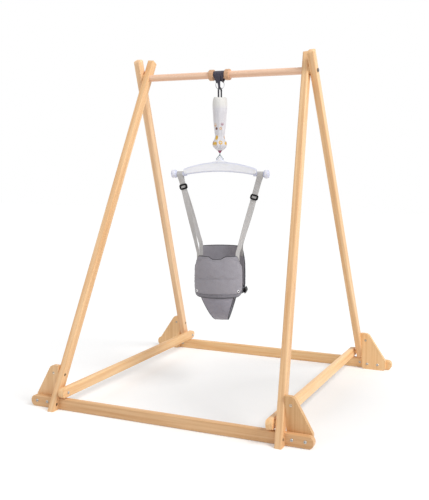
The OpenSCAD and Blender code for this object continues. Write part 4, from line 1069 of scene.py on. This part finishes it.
def panel_shape(cut, a, k):
    """Lower edge, upper edge and padded thickness of a panel at an angle from its middle and a share of
    its height."""
    share = np.clip((np.abs(a) - cut["corner"]) / (cut["half"] - cut["corner"]), 0.0, 1.0)
    low = SEAT_LOW + cut["rise"] * (1 - np.sqrt(1 - 0.96 * share**2))
    high = cut["top"] - cut["drop"] * eased(share) - cut["dip"] * (1 - eased((np.abs(a) - 7.0) / 13.0))
    thick = PANEL_T * (1 - 0.4 * share**6) * (0.45 + 0.55 * np.sin(np.pi * k) ** 0.6)
    return low, high, thick


def creases(a, z, seed):
    """Soft waves in cloth, a few long low sines at slanted angles."""
    return (0.42 * np.sin(0.055 * a + 62 * z + seed) + 0.30 * np.sin(-0.10 * a + 48 * z + 2.1 * seed)
            + 0.22 * np.sin(0.17 * a + 105 * z + 0.7 * seed))


def two_sided(outer, inner):
    """Grid whose columns run over the outer side and back over the inner side, which share both end
    columns."""
    return np.concatenate([outer, inner[:, -2:0:-1]], 1)


def padded_panel(node, cut, facing, cloth, seed, crease=0.0):
    """Padded cloth bent round the seat: a grid of angle and height whose outer side stands off the inner
    side by the padded thickness, less a groove at the hem's seam and at the pressed crease; both sides
    meet in a rounded rim. Gives the line round its edge."""
    u = np.sin(np.linspace(-np.pi / 2, np.pi / 2, 97))[:, None]
    k = (0.5 - 0.5 * np.cos(np.linspace(0.0, np.pi, 65)))[None, :]
    a = cut["half"] * u
    low, high, thick = panel_shape(cut, a, k)
    z = mixed(low, high, k)
    to_side = 1 - np.abs(u)
    to_end = np.minimum(k, 1 - k) * (high - low)
    rim = rounded_rim(to_side * math.radians(cut["half"]) * PANEL_MEAN_R) * rounded_rim(to_end)
    inside = rounded_rim(np.minimum(to_side * 0.1, to_end), 0.02)
    hem = bell(z - low, HEM, 0.0016)
    fold = bell(z, SEAT_LOW + crease, 0.0022) if crease else 0.0
    seam = bell(high - z, 0.0075, 0.0013)
    wave = 0.00055 * creases(a, z, seed) * inside
    tug = (0.0007 * bell(np.abs(u), 0.78, 0.12) * np.sin(260 * (z + 0.0011 * np.abs(a))) * inside
           * bell(k, 0.12, 0.16))
    middle = PANEL_IN + thick / 2
    outer = middle + (thick / 2 + wave + tug - 0.0008 * hem - 0.0009 * fold - 0.0008 * seam) * rim
    inner = middle - thick / 2 * rim
    angle = np.radians(a)

    def at(r):
        """Points of the panel at a radius from the seat's middle line."""
        return hung(np.stack([facing * r * np.sin(angle), -facing * r * np.cos(angle), z], -1), SEAT_TURN)

    points = two_sided(at(outer), at(inner))
    height = two_sided(z - low, z - low)
    height = np.concatenate([height, height[:, :1]], 1)
    uv = np.stack([np.broadcast_to(angle * PANEL_MEAN_R, height.shape), height], -1)
    stud = np.hypot((np.abs(a) - STUD_ANGLE) * math.radians(PANEL_MEAN_R), z - STUD_Z) < STUD_HOLD
    held = (rim < 0.97) | (hem > 0.5) | (fold > 0.5) | (seam > 0.5) | stud
    held = two_sided(held, np.ones_like(held))
    made = piece(node + "_pad", surface(points, uv, wrap_cols=True), cloth, "seat", [node],
                 merge=1e-6, hold=held.ravel().astype(np.float32))
    settled(made, SETTLE_CAP)
    core = at(middle)
    return np.concatenate([core[:, 0], core[-1, 1:], core[-2::-1, -1], core[0, -2:0:-1]])


def piping(name, edge, radius, count, closed=True):
    """Corded edge: a round profile carried along a panel's rim."""
    path = evenly(np.concatenate([edge, edge[:1]]), count + 1)[:-1] if closed else evenly(edge, count + 1)
    out = unit((path - [HANG_X, 0.0, 0.0]) * [1, 1, 0])
    profile = circle_profile(radius, 10)
    uv = lay_uv(run_of(path, closed), run_of(profile, True))
    cord = surface(carried(path, out, profile, closed), uv, wrap_rows=closed, wrap_cols=True, caps=not closed)
    piece(name, cord, piping_cloth, "seat")


def sling():
    """Crotch panel: across x and round the angle b from front to back; the point is (x, -(sqrt(R^2 - x^2)
    + h) cos b, low - (drop + h) sin b), moved to the right with sin b; its half width narrows with sin b,
    and both ends run up inside the panels."""
    tuck = SLING_TUCK * (1 - np.linspace(0.0, 1.0, 9)[:-1])
    b = np.concatenate([np.zeros(8), np.linspace(0.0, np.pi, 121), np.full(8, np.pi)])[:, None]
    rise = np.concatenate([tuck, np.zeros(121), tuck[::-1]])[:, None]
    w = mixed(SLING_HALF_TOP, SLING_HALF_LOW, np.sin(b))
    s = np.sin(np.linspace(-np.pi / 2, np.pi / 2, 49))[None, :]
    x = w * s
    t = SLING_T * rounded_rim((1 - np.abs(s)) * w, 0.002) * (0.8 + 0.2 * np.cos(np.pi / 2 * s))
    r = np.sqrt(SLING_R**2 - x**2)
    soft = 0.00055 * np.sin(9 * b + 40 * x + 1.0) * np.cos(np.pi / 2 * s) * np.sin(b)
    pull = 0.0008 * np.sin(34 * b) * np.abs(s) ** 4 * np.sin(b) ** 2

    def at(h):
        """Points of the sling at a height over its middle surface."""
        low = SEAT_LOW + rise - (SLING_DROP + h) * np.sin(b)
        return hung(np.stack([x + SLING_SHIFT * np.sin(b), -(r + h) * np.cos(b), low], -1), SEAT_TURN)

    points = two_sided(at(t / 2 + soft + pull), at(-t / 2 + soft + pull))
    mid = at(soft + pull)
    wide = two_sided(x, x)
    wide = np.concatenate([wide, wide[:, :1]], 1)
    uv = np.stack([wide, np.broadcast_to(run_of(mid[:, 24])[:, None], wide.shape)], -1)
    pad = surface(points, uv, wrap_cols=True, caps=True)
    made = piece("sling_pad", pad, sling_cloth, "seat", ["crotch_panel"], merge=1e-6)
    for hand, col in (("left", 0), ("right", -1)):
        piping("sling_%s_piping" % hand, mid[8:-8, col], SLING_PIPING_R, 160, closed=False)


front_edge = padded_panel("front_panel", FRONT_CUT, 1, panel_cloth, 0.8, FRONT_CREASE)
back_edge = padded_panel("back_panel", BACK_CUT, -1, back_cloth, 2.3)
piping("front_panel_piping", front_edge, PANEL_PIPING_R, 420)
piping("back_panel_piping", back_edge, PANEL_PIPING_R, 460)
sling()


# Straps and belts of the seat

def neck_lines(side):
    """Middle of the spreader's neck, direction down the leaning strap and direction across it."""
    neck = np.array([side * NECK_X, 0.0, NECK_Z])
    lean = np.array([-math.sin(STRAP_LEAN) * side, 0.0, -math.cos(STRAP_LEAN)])
    across = np.array([math.cos(STRAP_LEAN), 0.0, -math.sin(STRAP_LEAN) * side])
    return neck, lean, across


def flat_strip(name, path, wide, width, thick, web, node):
    """Stretched strap or belt: a flat profile carried along its path."""
    profile = flat_profile(width, thick, 28)
    run = run_of(path)
    strip = surface(carried(path, wide, profile), strip_uv(run, profile), wrap_cols=True, caps=True)
    made = piece(name, strip, web, "seat", [node])


def seat_strap(side, node):
    """Webbing from inside the front panel up to the slider, over the spreader's neck and down to the back
    panel; its width turns smoothly from the neck's line to the panel's."""
    neck, lean, across = neck_lines(side)
    t = np.linspace(0.0, 1.0, 60)[:, None]

    def leg(face, a, top_z):
        """Path and width of the part between the slider and a panel, at an angle from the seat's
        front."""
        a = math.radians(a)
        flat = np.array([math.cos(a), side * math.sin(a), 0.0]) * -face
        flat = turned(flat, SEAT_TURN - JUMPER_TURN)
        top = neck + lean * (SLIDER_AT[side] + STRAP_PART) + np.array([0.0, face * STRAP_T, 0.0])
        place = np.array([side * STRAP_IN * math.sin(a), -STRAP_IN * math.cos(a), top_z])
        place = turned(place, SEAT_TURN - JUMPER_TURN)
        low, hem = place + [0.0, 0.0, STRAP_OVER_PANEL], place - [0.0, 0.0, STRAP_IN_PANEL]
        path = np.concatenate([mixed(top, low, t), mixed(low, hem, t[1:])])
        return path, np.concatenate([mixed(across, flat, eased(t)), np.tile(flat, (59, 1))])

    front, front_wide = leg(-1, STRAP_FRONT, panel_shape(FRONT_CUT, STRAP_FRONT, 0.5)[1])
    back, back_wide = leg(1, 180 - STRAP_BACK, panel_shape(BACK_CUT, STRAP_BACK, 0.5)[1])
    join = neck + lean * STRAP_JOIN
    apart = np.array([0.0, STRAP_T, 0.0])
    depth = STRAP_JOIN * math.cos(STRAP_LEAN)
    wrap = math.atan2(depth, STRAP_T) - math.acos(STRAP_WRAP_R / math.hypot(STRAP_T, depth))
    a = np.linspace(math.pi + wrap, -wrap, 40)[:, None]
    over = neck + STRAP_WRAP_R * np.concatenate([0 * a, np.cos(a), np.sin(a)], 1)
    path = np.concatenate([front[::-1], [join - apart], over, [join + apart], back])
    level = np.tile([1.0, 0.0, 0.0], (40, 1))
    wide = np.concatenate([front_wide[::-1], [across], level, [across], back_wide])
    path, wide = evenly(path, 420, wide)
    path, wide = hung(relaxed(path, 10), JUMPER_TURN), turned(relaxed(wide, 40), JUMPER_TURN)
    flat_strip(node + "_webbing", path, wide, STRAP_W, STRAP_T, grey_web, node)


def waist_belt(side, hand):
    """Belt between the panels, along an arc at the waist."""
    a = np.radians(np.linspace(BELT_FRONT, BELT_BACK, 60))
    path = hung(np.stack([side * BELT_R * np.sin(a), -BELT_R * np.cos(a), np.full(60, BELT_Z)], 1), SEAT_TURN)
    flat_strip(hand + "_belt_webbing", path, np.tile([0.0, 0.0, 1.0], (60, 1)), BELT_W, BELT_T, belt_web,
               hand + "_waist_belt")


for side, hand in SIDES:
    seat_strap(side, hand + "_strap")
for side, hand in SIDES:
    waist_belt(side, hand)


# Spreader bar; its map holds the distance from the rounded edges, along which its finish paints shade

def edge_mapped(points, edge):
    """Part of the moulding, hung in place, with the distance from its edge as its map."""
    edge = np.concatenate([edge, edge[:, :1]], 1)
    return surface(hung(points, JUMPER_TURN), np.stack([edge, edge], -1), wrap_cols=True, caps=True)


def beam():
    """Arched beam: top and lower edge are parabolas of x; the profile has rounded corners, a rim and a
    face that lies a little deeper, and all of it draws in over the last millimetres."""
    x = SHOULDER_X * np.sin(np.linspace(-np.pi / 2, np.pi / 2, 121))[:, None]
    bow = (x / SHOULDER_X) ** 2
    draw = 0.005 * (1 - rounded_rim(SHOULDER_X - np.abs(x), 0.005))
    top = SPREADER_TOP - SPREADER_DROP * bow - draw
    low = SPREADER_TOP - SPREADER_H - (SPREADER_DROP + SHOULDER_H - SPREADER_H) * bow + draw
    sunk = 0.0003 * eased((SHOULDER_X - 0.008 - np.abs(x)) / 0.012)
    arc = np.linspace(np.pi / 2, 0.0, 9)
    corner, half = BEAM_EDGE, SPREADER_T / 2
    away = np.concatenate([half - corner + corner * np.cos(arc), np.full(5, half)])
    reach = np.concatenate([corner - corner * np.sin(arc), [0.0058, 0.0066, 0.0072, 0.0080, 0.0095]])
    inset = np.concatenate([np.zeros(9), [0.0, 0.1, 0.6, 1.0, 1.0]])
    front = away - inset * sunk - draw
    y = np.concatenate([front, front[:, ::-1], -front, -front[:, ::-1]], 1)
    z = np.concatenate([top - reach, (low + reach)[:, ::-1], low + reach, (top - reach)[:, ::-1]], 1)
    edge = np.broadcast_to(np.concatenate([reach, reach[::-1], reach, reach[::-1]]), y.shape)
    return edge_mapped(np.stack([np.broadcast_to(x, y.shape), y, z], -1), edge)


CREST_RISE = (-0.0085, -0.004, 0.0, 0.0025, 0.0048, 0.009, 0.0135, 0.0168, 0.0184, 0.019)
CREST_WIDE = (0.036, 0.033, 0.0265, 0.0180, 0.0135, 0.0100, 0.0068, 0.0042, 0.0022, 0.0)
CREST_DEEP = (0.0062, 0.0062, 0.0060, 0.0056, 0.0052, 0.0048, 0.0045, 0.0036, 0.0020, 0.0)


def crest():
    """Hanging eye's crest: level outlines that are squared ellipses, whose half width falls quickly and
    then slowly."""
    k = np.linspace(0.0, 1.0, 60)
    at = np.linspace(0.0, 1.0, len(CREST_RISE))
    level, wide, deep = (np.interp(k, at, v)[:, None] for v in (CREST_RISE, CREST_WIDE, CREST_DEEP))
    a = angles(64)[None]
    x = wide * bent(np.cos(a), 0.8)
    y = deep * bent(np.sin(a), 0.7)
    z = np.broadcast_to(SPREADER_TOP + level, x.shape)
    return edge_mapped(np.stack([x, y, z], -1), wide - np.abs(x))


def neck_and_knob(side):
    """Neck and end knob, turned: a round rod that flares into a drum with well rounded edges."""
    arc = np.linspace(0.0, np.pi / 2, 9)
    e = KNOB_EDGE
    knob_in = SPREADER_HALF - KNOB_LENGTH
    rows = [(NECK_R - 0.0005, SHOULDER_X - 0.012), (NECK_R, SHOULDER_X - 0.006), (NECK_R, knob_in - 0.003),
            (NECK_R + 0.0006, knob_in - 0.001)]
    rows += [(KNOB_R - e + e * math.sin(t), knob_in + e - e * math.cos(t)) for t in arc[1:]]
    rows += [(KNOB_R - e + e * math.cos(t), SPREADER_HALF - e + e * math.sin(t)) for t in arc]
    rows += [(0.004, SPREADER_HALF + 0.0003), (0.0, SPREADER_HALF + 0.0003)]
    rows = np.array(rows)[:, None]
    axis = np.array([float(side), 0.0, 0.0])
    points = [0.0, 0.0, NECK_Z] + rows[..., :1] * circle_about(axis, 40)[1] + rows[..., 1:] * axis
    edge = 0.0065 - 0.9 * np.abs(rows[..., 1] - SPREADER_HALF + KNOB_LENGTH / 2)
    return edge_mapped(points, np.broadcast_to(np.clip(edge, 0.0, 1.0), points.shape[:2]))


piece("spreader_moulding", [beam(), crest(), neck_and_knob(-1), neck_and_knob(1)], white_plastic_edge_shaded, "seat",
      ["spreader_bar"], 1e-6)


# Sliders, buckle and press studs

def slider(side, hand):
    """Slider: two rounded frames, one before and one behind the strap, each a flattened round profile
    carried along a squared ellipse, joined by a post at each side."""
    neck, lean, across = neck_lines(side)
    place = neck + lean * SLIDER_AT[side]
    a = np.linspace(0.0, 2 * np.pi, 161)
    wide, tall = SLIDER_HALF_W * bent(np.cos(a), 0.42), SLIDER_HALF_H * bent(np.sin(a), 0.42)
    ring = evenly(np.stack([wide, 0 * a, tall], 1), 121)[:-1]
    ring = ring[:, :1] * across - ring[:, 2:] * lean
    bar = flat_profile(SLIDER_BAR_W, SLIDER_BAR_T, 20, 0.6)
    parts = []
    for face in (-1, 1):
        path = place + ring + np.array([0.0, face * SLIDER_GAP, 0.0])
        rim = hung(carried(path, unit(ring), bar, True), JUMPER_TURN)
        parts.append(surface(rim, wrap_rows=True, wrap_cols=True))
    for edge in (-1, 1):
        y = np.linspace(-SLIDER_GAP, SLIDER_GAP, 6)[:, None]
        path = place + edge * SLIDER_POST_X * across + y * np.array([0.0, 1.0, 0.0])
        profile = flat_profile(SLIDER_POST_W, SLIDER_POST_T, 20, 0.6)
        post = carried(path, np.tile(-lean, (6, 1)), profile)
        parts.append(surface(hung(post, JUMPER_TURN), wrap_cols=True, caps=True))
    piece(hand + "_slider_frame", parts, black_plastic, hand + "_adjuster",
          [hand + "_slider"], 1e-7)


def side_buckle():
    """Side-release buckle: cross-sections along the belt that are thick in the middle and thin at both
    edges; a groove parts plug from socket, and both ends round off."""
    t = np.linspace(-1.0, 1.0, 101)[:, None]
    round_off = rounded_rim((1 - np.abs(t)) * BUCKLE_HALF, 0.006)
    groove = bell(t, 0.30, 0.045)
    thick = BUCKLE_HALF_T * mixed(0.5, 1.0, round_off) * (1 - 0.22 * groove)
    tall = BUCKLE_HALF_H * mixed(0.7, 1.0, round_off) * (1 - 0.10 * groove + 0.03 * bell(t, 0.48, 0.12))
    a = angles(56)[None]
    out = BUCKLE_R + thick * bent(np.cos(a), 1.8)
    z = BELT_Z + tall * bent(np.sin(a), 1.5)
    turn = math.radians(BUCKLE_AT)
    x = out * math.sin(turn) + BUCKLE_HALF * t * math.cos(turn)
    y = -out * math.cos(turn) + BUCKLE_HALF * t * math.sin(turn)
    shell = surface(hung(np.stack([x, y, z], -1), SEAT_TURN), wrap_cols=True, caps=True)
    piece("belt_side_buckle", shell, black_plastic, "seat", ["belt_buckle"], 1e-7)


STUD_RING = ((0.64, -0.0015), (0.64, 0.0017), (0.74, 0.0022), (0.90, 0.0023), (1.06, 0.0018), (1.18, 0.0010),
             (1.24, 0.0002), (1.24, -0.0015), (0.64, -0.0015))
STUD_MIDDLE = ((0, 0.0012), (0.40, 0.0012), (0.64, 0.0009), (0.64, 0.0), (0, 0.0))


def press_stud(points, rows):
    """Press stud's domed ring or its sunk middle: rows (share of its radius, height) turned about the way
    out of the panel."""
    right = turned(np.array([1.0, 0.0, 0.0]), SEAT_TURN)
    side = math.copysign(1.0, (points.mean(0) - [HANG_X, 0.0, 0.0]) @ right)
    a = math.radians(STUD_ANGLE)
    out = turned(np.array([side * math.sin(a), -math.cos(a), 0.0]), SEAT_TURN)
    middle, low, _, r = on_axis(points, out)
    return turned_on([(r * share, low + up, 0) for share, up in rows], middle, out)


for side, hand in SIDES:
    slider(side, hand)
side_buckle()
studs = solids_of("panel_snaps")
piece("panel_press_studs", [press_stud(p, STUD_RING) for p in studs], stud_nickel, "seat",
      ["panel_snaps"], 1e-7)
# The sunk middles are near black: painted shade in the studs' recess.
piece("press_stud_middles", [press_stud(p, STUD_MIDDLE) for p in studs], stud_painted_shade, "seat",
      (), 1e-7)


# Floor, world and lamps

def shown_straight(tree):
    """One where a ray comes from the camera or by a mirror-like or see-through surface, else nought."""
    ray = add(tree, "ShaderNodeLightPath").outputs
    return calc(tree, "MAXIMUM", ray["Is Camera Ray"],
                calc(tree, "MAXIMUM", ray["Is Glossy Ray"], ray["Is Transmission Ray"]))


def pale_floor():
    """Matt white floor that keeps the shadow; for the camera it glows a little by the stand, and further
    off a plain white takes over."""
    mat, tree, shader, obj, _ = finish("pale_floor")
    away = add(tree, "ShaderNodeVectorMath", (obj, GLOW_MIDDLE), operation="DISTANCE").outputs["Value"]
    shown = shown_straight(tree)
    far = times(tree, between(tree, away, 0.85, 1.5), shown)
    glow = times(tree, between(tree, away, 0.2, 0.7, 0.03, 0.29), shown)
    matt = blend_colour(tree, noise(tree, obj, 3.0, 2.0), (0.84, 0.84, 0.84, 1), (0.87, 0.87, 0.87, 1))
    feed(tree, shader, Roughness=0.9, Specular_IOR_Level=0.1, Base_Color=blend_colour(tree, far, matt, BLACK),
         Emission_Color=WHITE, Emission_Strength=plus(tree, times(tree, glow, minus(tree, 1.0, far)), far))
    return mat


def studio():
    """Pale floor, a white world for the camera, and soft lamps at a plain level."""
    corners = np.array([[[x, y, 0.0] for y in (-FLOOR, FLOOR)] for x in (-FLOOR, FLOOR)])
    piece("studio_floor", surface(corners), pale_floor())
    scene.world = bpy.data.worlds.new("studio")
    scene.world.use_nodes = True
    tree = scene.world.node_tree
    level = plus(tree, SKY, times(tree, shown_straight(tree), 1.0 - SKY))
    feed(tree, tree.nodes["Background"], Color=WHITE, Strength=level)
    for name, place, size, power in LAMPS:
        lamp = bpy.data.objects.new(name, bpy.data.lights.new(name, "AREA"))
        lamp.data.size = size
        lamp.data.energy = power
        lamp.location = place
        lamp.rotation_euler = (Vector(LAMP_AIM) - Vector(place)).to_track_quat("-Z", "Y").to_euler()
        scene.collection.objects.link(lamp)


studio()
